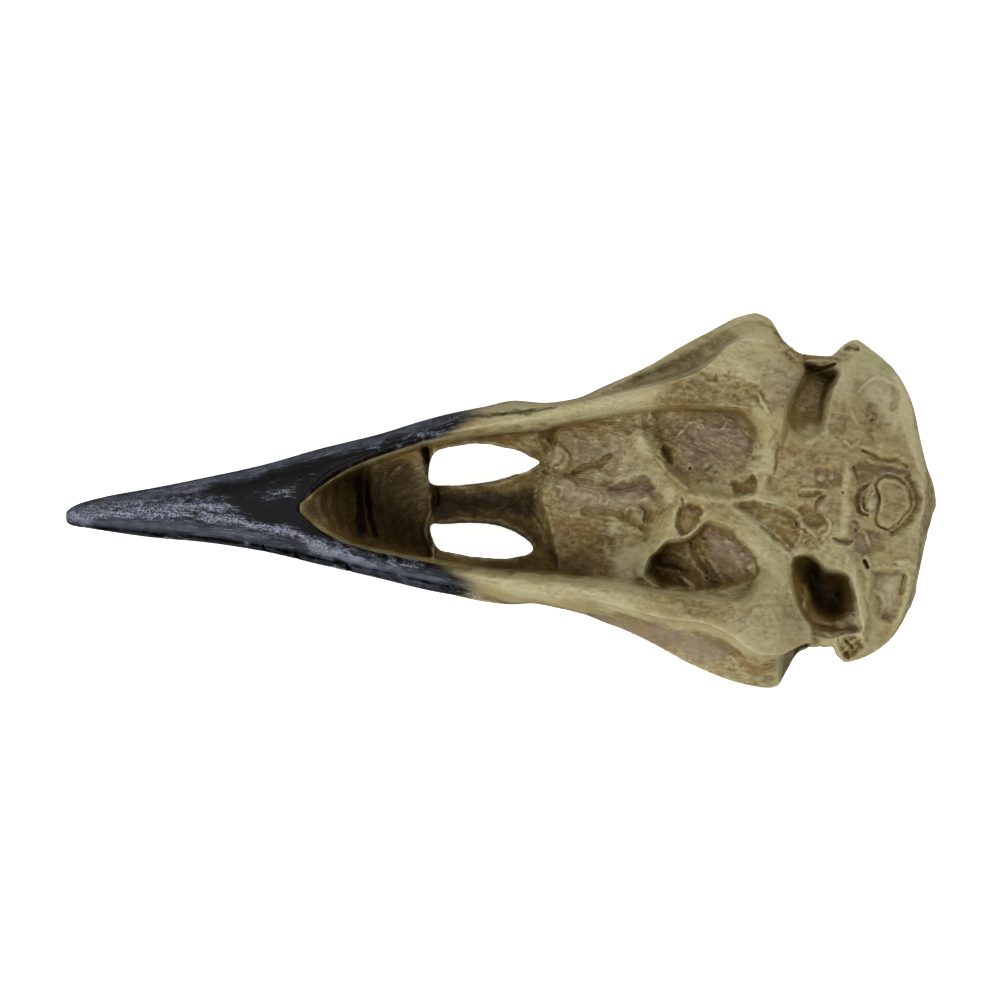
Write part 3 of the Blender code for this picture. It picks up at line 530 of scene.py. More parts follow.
def grain(u, v, size, seed):
    """Smooth noise from -1 to 1 with grains `size` cells wide."""
    table = np.random.default_rng(seed).uniform(-1, 1, (TABLE, TABLE))
    i, j = np.floor(u / size).astype(int), np.floor(v / size).astype(int)
    f, g = u / size - i, v / size - j
    f, g = f * f * (3 - 2 * f), g * g * (3 - 2 * g)
    i, j, k, m = i % TABLE, j % TABLE, (i + 1) % TABLE, (j + 1) % TABLE
    near = table[i, j] * (1 - f) + table[k, j] * f
    far = table[i, m] * (1 - f) + table[k, m] * f
    return near * (1 - g) + far * g


def rough(u, v, size, seed):
    """Noise of three sizes of grain, each half the one before."""
    return sum(share * grain(u, v, size / 2 ** i, seed + i) for i, share in enumerate((1, 0.55, 0.3)))


def window(points, margin):
    """Part of the plan's grid that holds these points."""
    p = np.array(points, float)
    low, high = p.min(0) - margin, p.max(0) + margin
    rows = slice(max(int((low[1] - PLAN_V[0]) / GRAIN), 0), max(int((high[1] - PLAN_V[0]) / GRAIN), 0))
    columns = slice(max(int((low[0] - PLAN_U[0]) / GRAIN), 0), max(int((high[0] - PLAN_U[0]) / GRAIN), 0))
    return rows, columns


def blurred(field, radius):
    """The field smoothed over `radius` cells."""
    rows = np.fft.fftfreq(field.shape[0])[:, None]
    columns = np.fft.rfftfreq(field.shape[1])[None, :]
    spread = radius / GRAIN
    pad = np.exp(-2 * (np.pi * spread) ** 2 * (rows ** 2 + columns ** 2))
    return np.fft.irfft2(np.fft.rfft2(field) * pad, field.shape)


def plan_grid():
    """u and v over the whole plan."""
    u = np.arange(PLAN_U[0], PLAN_U[1], GRAIN)
    v = np.arange(PLAN_V[0], PLAN_V[1], GRAIN)
    return np.meshgrid(u, v)


WAVES = ((0.12, 18, 3), (0.05, 6, 11))   # unevenness of the bone: height in mm, size in cells and seed
HATCHING = (0.05, 6, 21)
WANDER = (1.3, 13)            # how far hand-drawn lines stray, and over what length, cells


def relief(u, v):
    """Height in mm over the plan, with all that is carved into it."""
    z = ventral_z(u[:1], v[:, :1])
    z = z + 0 * u
    stray, length = WANDER
    a = u + stray * rough(u, v, length, 41)
    b = v + stray * rough(u, v, length, 57)
    for points, width, height in LINES:
        at = window(points, width + 5)
        z[at] += height * stroke(points, a[at], b[at], width)
    for points, soft, height in AREAS:
        at = window(points, soft + 5)
        z[at] += height * patch(points, a[at], b[at], soft)
    for cu, cv, ru, rv, turn, height in SPOTS:
        at = window([(cu, cv)], max(ru, rv) + 5)
        z[at] += height * bump(a[at], b[at], cu, cv, ru, rv, turn)
    uneven = sum(height * rough(u, v, size, seed) for height, size, seed in WAVES)
    height, size, seed = HATCHING
    uneven = uneven + height * rough(u * 0.4 + v * 0.25, v * 1.6 - u * 0.5, size, seed)
    return z + step(*BONE_FROM, u) * uneven


def sampled(field, u, v):
    """The field's values at any u, v."""
    column = np.clip((u - PLAN_U[0]) / GRAIN, 0, field.shape[1] - 1.001)
    row = np.clip((v - PLAN_V[0]) / GRAIN, 0, field.shape[0] - 1.001)
    i, j = row.astype(int), column.astype(int)
    f, g = row - i, column - j
    top = field[i, j] * (1 - g) + field[i, j + 1] * g
    low = field[i + 1, j] * (1 - g) + field[i + 1, j + 1] * g
    return top * (1 - f) + low * f


# ---- the skin ----
RING_STEP = 1.2               # cells between two rings
VENTRAL_POINTS = 340          # points of a ring along the underside of the head
WALL_POINTS = 40              # points of a ring down each side wall
CROWN_POINTS = 110            # points of a ring across the crown
CALM = 5                      # cells over which the relief is smoothed where the walls start
EDGE_RISE = 0.6               # how far a wall's top may stand over the relief's edge, mm
WINDOW_Z = (-3, 17)           # reach of the tools that cut the nostrils, mm
CROWN_TOP = 9.0               # height below which the crown and the walls are smoothed once more, mm
CROWN_ROUNDS = 3
SETTLE_ROUNDS = 2
MOUTH_DROP = 1.2              # line of the mouth below the edge of the bill, mm
MOUTH_DEPTH = 0.45
SUTURE_DEPTH = 0.22
FOLD_DEPTH = 0.35


def ring(u, field, calm):
    """Points (mm) of one ring across the head, whose walls start from the calm field."""
    x = (u - MID_U) * CELL
    v = np.linspace(curve(OUT_LO, u), curve(OUT_UP, u), VENTRAL_POINTS)
    z = sampled(field, np.full_like(v, u), v)
    y = (MID_V - v) * CELL - (z - LEVEL) * SLANT
    edge_z = np.minimum(sampled(calm, np.array([u, u]), v[[0, -1]]), z[[0, -1]] + EDGE_RISE)
    left_y, left_z = wall(x, y[-1], edge_z[1], WALL_POINTS)
    right_y, right_z = wall(x, -y[0], edge_z[0], WALL_POINTS)
    t = np.linspace(1, -1, CROWN_POINTS)
    half = np.where(t > 0, left_y[-1], right_y[-1])
    drop = np.where(t > 0, left_z[-1], right_z[-1]) - curve(ROOF_EDGE_Z, x)
    crown = crown_z(x, np.abs(t)) + np.minimum(drop, 0) * t ** 2
    ys = np.concatenate([y, left_y[1:-1], t * half, -right_y[-2:0:-1]])
    zs = np.concatenate([z, left_z[1:-1], crown, right_z[-2:0:-1]])
    return np.column_stack([np.full(len(ys), x), ys + SHIFT_Y, zs])


def loft(name, rings):
    """Closed object through rings of points in mm."""
    points = np.concatenate(rings) * 0.001
    count = len(rings[0])
    near = np.arange((len(rings) - 1) * count).reshape(-1, count)
    side = np.roll(near, -1, axis=1)
    faces = np.stack([near, near + count, side + count, side], -1).reshape(-1, 4).tolist()
    faces += [list(range(count)), list(range(len(points) - 1, len(points) - count - 1, -1))]
    mesh = bpy.data.meshes.new(name)
    mesh.from_pydata(points.tolist(), [], faces)
    obj = bpy.data.objects.new(name, mesh)
    bpy.context.scene.collection.objects.link(obj)
    return obj


def plan_point(u, v, z):
    """Point in mm that the plan shows at (u, v) when it is at height z."""
    return np.array([(u - MID_U) * CELL, (MID_V - v) * CELL - (z - LEVEL) * SLANT + SHIFT_Y, z])


def bake(obj):
    """Replace an object's mesh by what its modifiers make of it."""
    depsgraph = bpy.context.evaluated_depsgraph_get()
    mesh = bpy.data.meshes.new_from_object(obj.evaluated_get(depsgraph))
    obj.modifiers.clear()
    obj.data = mesh


def points_of(mesh):
    """The mesh's points in mm."""
    co = np.empty(len(mesh.vertices) * 3, np.float32)
    mesh.vertices.foreach_get("co", co)
    return co.reshape(-1, 3).astype(float) * 1000


def move_points(mesh, points):
    """Put the mesh's points at these places in mm."""
    mesh.vertices.foreach_set("co", (points * 0.001).astype(np.float32).ravel())
    mesh.update()


def normals_of(mesh):
    """Direction of the surface at each point."""
    out = np.empty(len(mesh.vertices) * 3, np.float32)
    mesh.vertex_normals.foreach_get("vector", out)
    return out.reshape(-1, 3).astype(float)


def edges_of(mesh):
    """The two points of each edge, by number."""
    out = np.empty(len(mesh.edges) * 2, np.int32)
    mesh.edges.foreach_get("vertices", out)
    return out.reshape(-1, 2)


def relaxed(points, edges, rounds):
    """Each point moved to the middle of its neighbours, over and over."""
    a, b = edges.T
    share = np.maximum(np.bincount(a, minlength=len(points)) + np.bincount(b, minlength=len(points)), 1)
    for _ in range(rounds):
        total = [np.bincount(a, points[b, k], len(points)) + np.bincount(b, points[a, k], len(points))
                 for k in range(3)]
        points = 0.5 * points + 0.5 * np.stack(total, 1) / share[:, None]
    return points


def main_body(mesh):
    """Which points belong to the largest body that hangs together."""
    a, b = edges_of(mesh).T
    label = np.arange(len(mesh.vertices))
    while True:
        low = np.minimum(label[a], label[b])
        new = label.copy()
        np.minimum.at(new, a, low)
        np.minimum.at(new, b, low)
        new = new[new]
        if (new == label).all():
            break
        label = new
    return label == np.bincount(label).argmax()


def plan_of(points):
    """u and v of points in mm."""
    u = points[:, 0] / CELL + MID_U
    v = MID_V - (points[:, 1] - SHIFT_Y + (points[:, 2] - LEVEL) * SLANT) / CELL
    return u, v


def window_tool(loop):
    """Prism with this outline of the plan, which goes right through the bill."""
    line = rounded(loop)
    if np.sum(line[:, 0] * np.roll(line[:, 1], -1) - np.roll(line[:, 0], -1) * line[:, 1]) < 0:
        line = line[::-1]
    return loft("window", [np.array([plan_point(a, b, z) for a, b in line]) for z in WINDOW_Z])


def cut(obj, tools):
    """Take the tools out of the object."""
    with bpy.context.temp_override(active_object=tools[0], selected_editable_objects=tools):
        bpy.ops.object.join()
    mod = obj.modifiers.new("Cut", 'BOOLEAN')
    mod.operation = 'DIFFERENCE'
    mod.solver = 'EXACT'
    mod.object = tools[0]
    bake(obj)
    bpy.data.objects.remove(tools[0])


def drop_crumbs(mesh):
    """Delete the crumbs that the cuts leave beside the main body."""
    keep = main_body(mesh)
    if not keep.all():
        bm = bmesh.new()
        bm.from_mesh(mesh)
        crumbs = [vert for vert, kept in zip(bm.verts, keep) if not kept]
        bmesh.ops.delete(bm, geom=crumbs, context='VERTS')
        bm.to_mesh(mesh)
        bm.free()


def settle(mesh, field):
    """Move the points of the underside onto the relief, which the remeshing has blunted."""
    for _ in range(SETTLE_ROUNDS):
        points, normals = points_of(mesh), normals_of(mesh)
        u, v = plan_of(points)
        gap = sampled(field, u, v) - points[:, 2]
        # only where the skin faces up and is already close to the relief
        points[:, 2] += gap * step(0.1, 0.45, normals[:, 2]) * step(1.0, 0.5, np.abs(gap))
        move_points(mesh, points)


def shape_sides(mesh, field):
    """Carve the side walls and the crown: the line of the mouth, sutures and the sculptor's marks."""
    points, normals = points_of(mesh), normals_of(mesh)
    u, v = plan_of(points)
    x, y, z = points.T
    under = step(0.6, 1.6, sampled(field, u, v) - z)      # 0 on the underside itself
    bone = step(-14, -2, x)                               # 0 on the smooth bill
    marks = 0.10 * rough(x * 9 + z * 3, y * 9 - z * 4, 16, 91)
    marks += 0.05 * rough(x * 9 - y * 5, z * 9, 9, 95)
    # line of the mouth, suture along the crown, and fold between bill and head, all narrow
    mouth = curve(BILL_EDGE_Z, u) - MOUTH_DROP
    slit = np.exp(-((z - mouth) / 0.22) ** 2) * step(-46.5, -44, x) * step(2, -4, x)
    slit *= step(0.2, 0.6, np.abs(normals[:, 1]))
    seam = np.exp(-((y - SHIFT_Y) / 0.30) ** 2) * step(14, 18, x) * step(44, 38, x) * step(12, 6, z)
    fold = np.exp(-((x - 1.6 - 0.06 * y ** 2) / 0.5) ** 2) * step(8, 5, z)
    amount = bone * marks - MOUTH_DEPTH * slit - SUTURE_DEPTH * seam - FOLD_DEPTH * fold
    points += normals * (amount * under)[:, None]
    move_points(mesh, points)


def make_skin(field):
    """The whole head as one object, at the height where it rests on the table."""
    calm = blurred(field, CALM)
    places = np.append(np.arange(TIP_U, BACK_U - RING_STEP / 2, RING_STEP), BACK_U)
    rings = [ring(u, field, calm) for u in places]
    skin = loft("painted_cast", rings)
    cut(skin, [window_tool(loop) for loop in (NOSTRIL_UP, NOSTRIL_LO)])
    mod = skin.modifiers.new("Remesh", 'REMESH')
    mod.mode = 'VOXEL'
    mod.voxel_size = VOXEL * 0.001
    bake(skin)
    mesh = skin.data
    drop_crumbs(mesh)
    settle(mesh, field)
    shape_sides(mesh, field)
    points = points_of(mesh)
    smooth = relaxed(points, edges_of(mesh), CROWN_ROUNDS)
    points = np.where(np.abs(points[:, 2:]) < CROWN_TOP, smooth, points)
    points[:, 2] = np.maximum(points[:, 2] - REST_DEPTH, 0)
    move_points(mesh, points)
    mesh.shade_smooth()
    return skin


# ---- paint: how much of each colour lies on each point ----
# (points, soft edge, amount)
BROWN = [
    # mouth and palate
    ([(300, 508), (330, 478), (380, 460), (440, 444), (545, 428), (604, 421), (614, 440), (606, 470),
      (560, 474), (556, 510), (612, 512), (608, 546), (600, 576), (545, 574), (440, 562), (370, 548),
      (330, 532)], 18, 0.85),
    ([(556, 474), (600, 480), (632, 482), (650, 482), (660, 500), (655, 520), (634, 528), (622, 524),
      (600, 512), (556, 512)], 12, 0.8),
    ([(604, 424), (632, 422), (634, 450), (616, 476), (600, 470)], 16, 0.5),
    ([(598, 514), (634, 528), (622, 552), (602, 574), (596, 550)], 18, 0.45),
    # two hollows behind the palate
    ([(655, 440), (666, 424), (690, 412), (716, 408), (744, 412), (752, 430), (748, 458), (742, 472),
      (732, 480), (704, 478), (682, 471), (666, 462)], 14, 0.72),
    # brown under the inner crest of the jaw: brown paint and painted shade under the jaw's wall
    ([(680, 404), (720, 402), (750, 408), (744, 414), (700, 410)], 8, 0.7),
    ([(735, 478), (756, 474), (756, 492), (736, 495)], 7, 0.9),
    ([(650, 562), (664, 548), (684, 541), (706, 526), (728, 531), (742, 544), (756, 562), (748, 580),
      (700, 591), (660, 584)], 8, 1.0),
    ([(680, 508), (696, 506), (702, 514), (692, 530), (682, 536), (675, 526)], 6, 0.95),
    ([(742, 503), (768, 505), (796, 514), (800, 530), (794, 550), (776, 536), (756, 522)], 12, 0.6),
    ([(764, 478), (784, 472), (788, 488), (768, 496)], 9, 0.7),
    ([(774, 440), (782, 440), (780, 474), (772, 476)], 6, 0.6),
    # ears
    ([(803, 372), (834, 374), (828, 400), (822, 424), (800, 432), (789, 420), (794, 398)], 16, 0.55),
    ([(795, 562), (810, 558), (824, 570), (848, 580), (858, 620), (840, 632), (812, 626), (796, 596)], 9,
      0.9),
    # braincase
    ([(795, 452), (846, 452), (850, 480), (840, 520), (812, 536), (796, 500)], 24, 0.5),
    ([(817, 470), (840, 470), (840, 486), (818, 487)], 7, 0.75),
    ([(798, 507), (818, 507), (830, 520), (810, 528)], 8, 0.7),
    ([(816, 498), (834, 498), (834, 512), (820, 514)], 6, 0.6),
    ([(796, 530), (826, 534), (816, 552), (798, 548)], 10, 0.6),
    ([(855, 490), (868, 484), (864, 496), (868, 514), (858, 514), (853, 502)], 4, 0.8),
    ([(904, 478), (916, 488), (921, 502), (914, 520), (898, 534), (888, 531), (905, 520), (911, 503)], 6,
      0.8),
    ([(880, 486), (898, 482), (908, 496), (908, 512), (898, 524), (884, 524), (880, 505)], 8, 0.4),
    ([(856, 458), (880, 461), (906, 464), (909, 474), (884, 474), (858, 482)], 8, 0.75),
    ([(828, 402), (846, 400), (848, 430), (830, 434)], 9, 0.6),
    ([(862, 404), (878, 403), (874, 440), (864, 434)], 7, 0.35),
    ([(884, 380), (897, 388), (899, 408), (889, 404)], 8, 0.2),
    ([(856, 372), (872, 366), (868, 384), (856, 390)], 9, 0.3),
    ([(875, 574), (904, 572), (905, 590), (896, 618), (884, 622), (876, 604)], 8, 0.2),
    ([(842, 640), (862, 636), (864, 650), (847, 656)], 6, 0.7),
    ([(852, 528), (880, 530), (886, 548), (868, 558), (850, 550)], 12, 0.6),
    # cheeks and jaw plates
    ([(578, 401), (612, 386), (640, 376), (668, 358), (696, 344), (734, 335), (728, 348), (710, 362),
      (690, 374), (650, 388), (610, 397)], 14, 0.25),
    ([(786, 350), (845, 352), (842, 364), (815, 369), (795, 366)], 6, 0.6),
    ([(590, 612), (640, 622), (700, 632), (740, 652), (700, 650), (640, 640), (600, 626)], 12, 0.5),
    ([(740, 656), (784, 660), (788, 672), (760, 680)], 14, 0.5),
    ([(774, 598), (795, 602), (806, 622), (784, 624)], 9, 0.5),
    ([(668, 600), (745, 602), (760, 618), (690, 616)], 12, 0.5),
    ([(764, 372), (798, 370), (796, 392), (784, 410), (768, 400)], 12, 0.5),
    ([(664, 388), (700, 374), (756, 384), (756, 402), (715, 412), (660, 406)], 18, 0.95),
    ([(736, 350), (790, 366), (780, 374), (740, 360)], 8, 0.3),
    ([(924, 462), (934, 485), (936, 515), (925, 545), (918, 575), (908, 600), (922, 520), (926, 492)], 6,
      0.6),
    ([(880, 356), (900, 382), (916, 430), (922, 458), (912, 446), (904, 404), (886, 372)], 4, 0.2),
    ([(440, 452), (520, 436), (560, 430), (600, 424), (600, 418), (540, 424), (460, 440)], 6, 0.5),
]
ROSE = [
    ([(560, 476), (600, 482), (650, 482), (658, 500), (650, 515), (625, 508), (590, 511), (560, 500)], 18,
      1.0),
    ([(680, 430), (706, 418), (740, 424), (752, 450), (738, 476), (700, 480), (672, 462)], 26, 0.8),
    ([(706, 531), (722, 532), (744, 548), (752, 566), (735, 578), (716, 566)], 16, 1.0),
    ([(676, 520), (690, 508), (698, 514), (690, 532), (680, 534)], 8, 0.5),
    ([(820, 500), (832, 498), (832, 512), (820, 512)], 8, 0.9),
    ([(800, 468), (842, 468), (842, 484), (820, 490), (800, 486)], 14, 0.6),
    ([(800, 424), (826, 424), (824, 440), (804, 440)], 10, 0.6),
    ([(856, 468), (905, 466), (904, 476), (860, 480)], 12, 0.6),
    ([(852, 528), (884, 532), (880, 556), (850, 552)], 14, 0.7),
    ([(876, 572), (904, 570), (902, 600), (890, 622), (878, 610)], 10, 0.7),
    ([(846, 612), (860, 616), (858, 632), (846, 632)], 6, 1.0),
    ([(764, 372), (798, 370), (796, 392), (784, 410), (768, 400)], 12, 0.7),
    ([(560, 440), (630, 430), (630, 470), (570, 470)], 26, 0.5),
    ([(590, 396), (700, 348), (732, 338), (716, 358), (640, 386)], 10, 0.5),
    ([(500, 486), (545, 470), (545, 520), (505, 512)], 14, 0.4),
    ([(596, 612), (640, 622), (690, 632), (730, 650), (700, 662), (640, 642), (600, 626)], 14, 0.9),
    ([(880, 350), (905, 385), (918, 440), (936, 490), (930, 540), (920, 530), (925, 490), (905, 410)], 8,
      0.35),
    ([(740, 600), (800, 612), (800, 640), (760, 640)], 20, 0.4),
    ([(632, 430), (650, 424), (656, 450), (644, 470), (630, 456)], 16, 0.6),
]
# dark paint, and painted shade: near-black in the deepest holes and shadow under overhangs
DARK_PAINT_AND_SHADE = [
    ([(452, 416), (480, 413), (505, 412), (530, 408), (558, 403), (556, 407), (530, 412), (505, 416),
      (480, 418)], 3, 0.7),
    ([(300, 508), (322, 488), (350, 470), (388, 462), (428, 470), (430, 548), (380, 545), (340, 532)], 26,
      0.8),
    # painted shade: the deepest band of the spoon
    ([(350, 476), (362, 472), (374, 484), (374, 524), (366, 538), (352, 528), (349, 500)], 12, 1.0),
    ([(432, 493), (500, 492), (530, 486), (536, 500), (530, 516), (500, 514), (432, 516)], 10, 0.9),
    # painted shadow under the overhanging edges in the lower hollow
    ([(650, 566), (660, 556), (680, 560), (690, 576), (682, 588), (660, 582)], 12, 0.15),
    # painted shade: near-black in the core of the lower ear
    ([(807, 563), (817, 566), (826, 580), (826, 602), (818, 608), (809, 590)], 12, 0.95),
    ([(824, 576), (846, 580), (850, 598), (842, 612), (826, 614), (820, 600)], 16, 0.35),
    # painted shadow under the overhanging edges of the upper ear
    ([(822, 382), (832, 380), (828, 398), (822, 398)], 10, 0.4),
    ([(789, 412), (797, 412), (799, 427), (790, 426)], 8, 0.35),
    ([(664, 446), (673, 446), (672, 456), (667, 462)], 5, 0.5),
    ([(847, 347), (859, 347), (857, 352), (848, 352)], 4, 0.6),
    ([(540, 545), (580, 552), (604, 562), (604, 578), (545, 574)], 20, 0.5),
    ([(800, 362), (812, 366), (836, 363), (836, 367), (812, 370)], 3, 0.8),
    ([(440, 564), (500, 560), (545, 556), (600, 574), (560, 580), (500, 574)], 8, 0.6),
    ([(864, 560), (867, 560), (869, 569), (866, 570)], 2, 0.8),
    ([(834, 538), (852, 538), (850, 543), (838, 543)], 3, 0.5),
    ([(660, 440), (668, 452), (676, 470), (690, 484), (676, 478), (662, 460)], 6, 0.3),
]
PALE = [
    ([(622, 550), (648, 542), (648, 568), (630, 582), (612, 580)], 16, 0.85),
    ([(543, 448), (556, 446), (561, 460), (549, 470)], 8, 0.55),
    ([(862, 380), (885, 372), (905, 396), (900, 424), (876, 412)], 16, 0.75),
    ([(876, 580), (900, 576), (898, 604), (884, 612)], 14, 0.65),
    ([(728, 328), (745, 316), (764, 318), (778, 338), (752, 342)], 12, 0.95),
    ([(634, 430), (648, 428), (652, 446), (644, 458), (634, 448)], 14, 0.7),
    ([(660, 492), (670, 490), (673, 503), (663, 503)], 8, 0.8),
    ([(735, 345), (760, 338), (798, 362), (800, 372), (780, 362), (750, 350)], 12, 0.4),
    ([(897, 561), (910, 559), (911, 567), (900, 569)], 5, 0.6),
    ([(858, 600), (863, 600), (866, 620), (861, 622)], 4, 0.9),
    ([(746, 566), (753, 564), (755, 572), (749, 573)], 4, 0.8),
    ([(682, 578), (692, 582), (696, 589), (686, 589)], 4, 0.5),
    ([(768, 560), (788, 562), (795, 600), (800, 640), (780, 630), (772, 600)], 18, 0.4),
    ([(843, 470), (852, 470), (852, 500), (852, 535), (840, 535)], 8, 0.5),
    ([(894, 374), (908, 396), (918, 430), (928, 476), (916, 470), (904, 430)], 10, 0.9),
    ([(668, 398), (700, 498), (740, 500), (700, 506)], 8, 0.3),
    ([(850, 562), (858, 580), (864, 634), (856, 630)], 8, 0.8),
    ([(600, 392), (650, 372), (700, 350), (722, 346), (700, 368), (660, 386), (620, 397)], 14, 0.3),
    ([(518, 582), (560, 582), (620, 592), (680, 604), (676, 611), (620, 601), (556, 591)], 6, 0.5),
]
TAN = [
    ([(652, 420), (671, 412), (671, 440), (660, 446)], 14, 0.6),
    ([(788, 408), (802, 408), (804, 432), (792, 430)], 8, 0.7),
    ([(794, 562), (806, 562), (808, 590), (816, 622), (806, 616), (795, 590)], 7, 1.0),
    ([(300, 507), (330, 490), (346, 500), (340, 525), (318, 522)], 12, 0.5),
    ([(426, 470), (434, 480), (432, 500), (432, 520), (426, 545), (424, 500)], 6, 0.5),
    ([(804, 372), (822, 372), (818, 396), (800, 402)], 14, 0.4),
]
SPECK = [
    ([(652, 398), (690, 374), (720, 366), (756, 384), (762, 402), (715, 410), (676, 408)], 12, 1.0),
    ([(763, 374), (798, 370), (796, 392), (784, 410), (768, 402)], 12, 0.8),
    ([(560, 515), (612, 516), (606, 560), (560, 556)], 16, 0.8),
    ([(668, 600), (760, 602), (800, 625), (790, 640), (720, 620)], 14, 0.6),
    ([(560, 440), (640, 436), (630, 475), (566, 474)], 16, 0.5),
    ([(664, 450), (700, 462), (740, 478), (740, 492), (690, 488), (668, 472)], 12, 0.9),
    ([(828, 402), (848, 400), (848, 430), (830, 434)], 8, 0.7),
    ([(796, 452), (846, 452), (838, 500), (798, 512)], 14, 0.6),
    ([(770, 580), (795, 590), (800, 630), (775, 625)], 14, 0.6),
    ([(856, 464), (905, 466), (890, 476), (858, 484)], 8, 0.6),
    ([(650, 545), (670, 520), (664, 560), (646, 575)], 12, 0.5),
]
SILVER_AND_GLINTS = [
    # silver dry-brush on the crest, the dust above it and the strokes down the lower face; along the crest
    # and those strokes it is partly painted glints of the lamp
    ([(64, 517), (88, 512), (150, 510), (190, 513), (230, 517), (262, 523), (290, 531), (318, 544),
      (300, 540), (262, 530), (220, 522), (150, 516), (80, 519)], 5, 1.0),
    ([(70, 512), (100, 504), (150, 500), (190, 500), (226, 503), (232, 509), (190, 511), (110, 512)], 9,
      0.8),
    ([(266, 489), (280, 486), (291, 487), (286, 494), (268, 497)], 8, 0.4),
    # painted highlight on the tip of the bill
    ([(64, 516), (72, 512), (92, 513), (92, 520), (74, 521)], 5, 1.0),
    ([(318, 542), (350, 556), (378, 564), (368, 568), (330, 558), (310, 548)], 8, 0.75),
    ([(90, 500), (150, 489), (220, 476), (280, 462), (270, 470), (220, 484), (150, 496), (100, 503)], 10,
      0.45),
    ([(310, 460), (360, 446), (420, 432), (420, 438), (360, 454), (320, 466)], 8, 0.1),
]
# places where the silvery strokes are taken off and the bill is left plain black
BARE_BLACK = [
    ([(232, 504), (240, 496), (262, 500), (292, 498), (300, 480), (330, 464), (345, 468), (300, 505),
      (330, 540), (300, 527), (262, 518)], 10, 1.0),
    ([(210, 484), (280, 472), (340, 455), (400, 440), (405, 444), (340, 468), (290, 484), (240, 494)], 12,
      0.75),
    ([(70, 527), (110, 531), (155, 537), (200, 541), (260, 550), (320, 564), (380, 578), (440, 592),
      (440, 586), (380, 572), (320, 558), (260, 545), (200, 537), (120, 528)], 4, 1.0),
]
PAINTED_SHEEN = [
    # painted sheen: soft gray reflection painted on the lower face, on the upper face along its outline,
    # and on the tip
    ([(80, 520), (130, 520), (190, 525), (250, 533), (260, 542), (240, 541), (160, 533), (100, 527)], 12,
      1.0),
    ([(250, 533), (300, 545), (350, 560), (300, 552), (258, 543)], 12, 0.5),
    ([(345, 556), (410, 571), (440, 577), (430, 585), (380, 574), (346, 564)], 10, 1.0),
    ([(100, 498), (155, 488), (200, 479), (260, 466), (320, 449), (380, 434), (425, 420), (425, 425),
      (380, 440), (320, 456), (260, 473), (200, 486), (155, 496)], 8, 0.85),
    ([(64, 516), (74, 508), (90, 506), (110, 512), (84, 519)], 8, 0.8),
]


HORN_FADE = (432, 505)        # the black of the bill fades out on the underside, u
FADE_X = -10.0                # where it fades out at the crown, mm
FADE_SLANT = 0.45             # how far back that place moves for each mm up
SIDE_SILVER_AND_GLINTS = 0.42            # silver with painted glints, and the painted gray sheen, on the sides and the crown of the bill
SIDE_PAINTED_SHEEN = 0.3
EDGE_WANDER = ((3.0, 17, 71, 81), (1.2, 5, 75, 85))   # ragged edges: reach and size in cells, two seeds
BEND_ROUNDS = 14
BEND = 0.07                   # mm by which a full fine hollow or ridge stands off its surroundings
BOWL = (11, 0.45)             # the same for a broad hollow: its reach in cells and depth in mm
CHEEK_CLEAN = (540, 600)      # from here back the far cheek is kept clean of the washes in hollows, u


def painted(patches, u, v):
    """Amount of one paint over the plan."""
    out = np.zeros(u.shape)
    for points, soft, amount in patches:
        at = window(points, soft + 12)
        out[at] = np.maximum(out[at], amount * patch(points, u[at], v[at], soft * 1.3))
    return out


def horn_paint(u, v):
    """Black of the bill, which stays outside the jaw's inner edge and fades out along its outer face."""
    # the fade lies further forward towards the inner edge
    inward = np.where(v < MOUTH_V, v - curve(IN_UP, u[0]), curve(IN_LO, u[0]) - v)
    fade = 1 - step(*HORN_FADE, u + 2.2 * np.clip(inward + 12, 0, 30))
    return np.where(u < FORK[0] + 4, 1, fade * step(1.5, -1.5, inward))


def paint_masks(u, v):
    """All the paints over the plan, with ragged edges."""
    a, b = u, v
    for reach, size, seed_u, seed_v in EDGE_WANDER:
        a = a + reach * rough(u, v, size, seed_u)
        b = b + reach * rough(u, v, size, seed_v)
    layers = {"brown": BROWN, "rose": ROSE, "dark": DARK_PAINT_AND_SHADE, "pale": PALE, "tan": TAN, "speck": SPECK}
    masks = {name: painted(patches, a, b) for name, patches in layers.items()}
    # silvery dry-brush with painted glints: half strength all over the bill, more in the listed strokes,
    # none in the bare black places
    masks["silver_and_glint"] = np.clip(0.5 + 0.5 * painted(SILVER_AND_GLINTS, a, b) - 0.5 * painted(BARE_BLACK, a, b), 0, 1)
    masks["painted_sheen"] = painted(PAINTED_SHEEN, a, b)
    masks["horn"] = horn_paint(u, v)
    return masks


def store(mesh, name, values):
    """Keep one number for each point of the mesh."""
    layer = mesh.attributes.new(name, 'FLOAT', 'POINT')
    layer.data.foreach_set("value", np.clip(values, 0, 1).astype(np.float32))


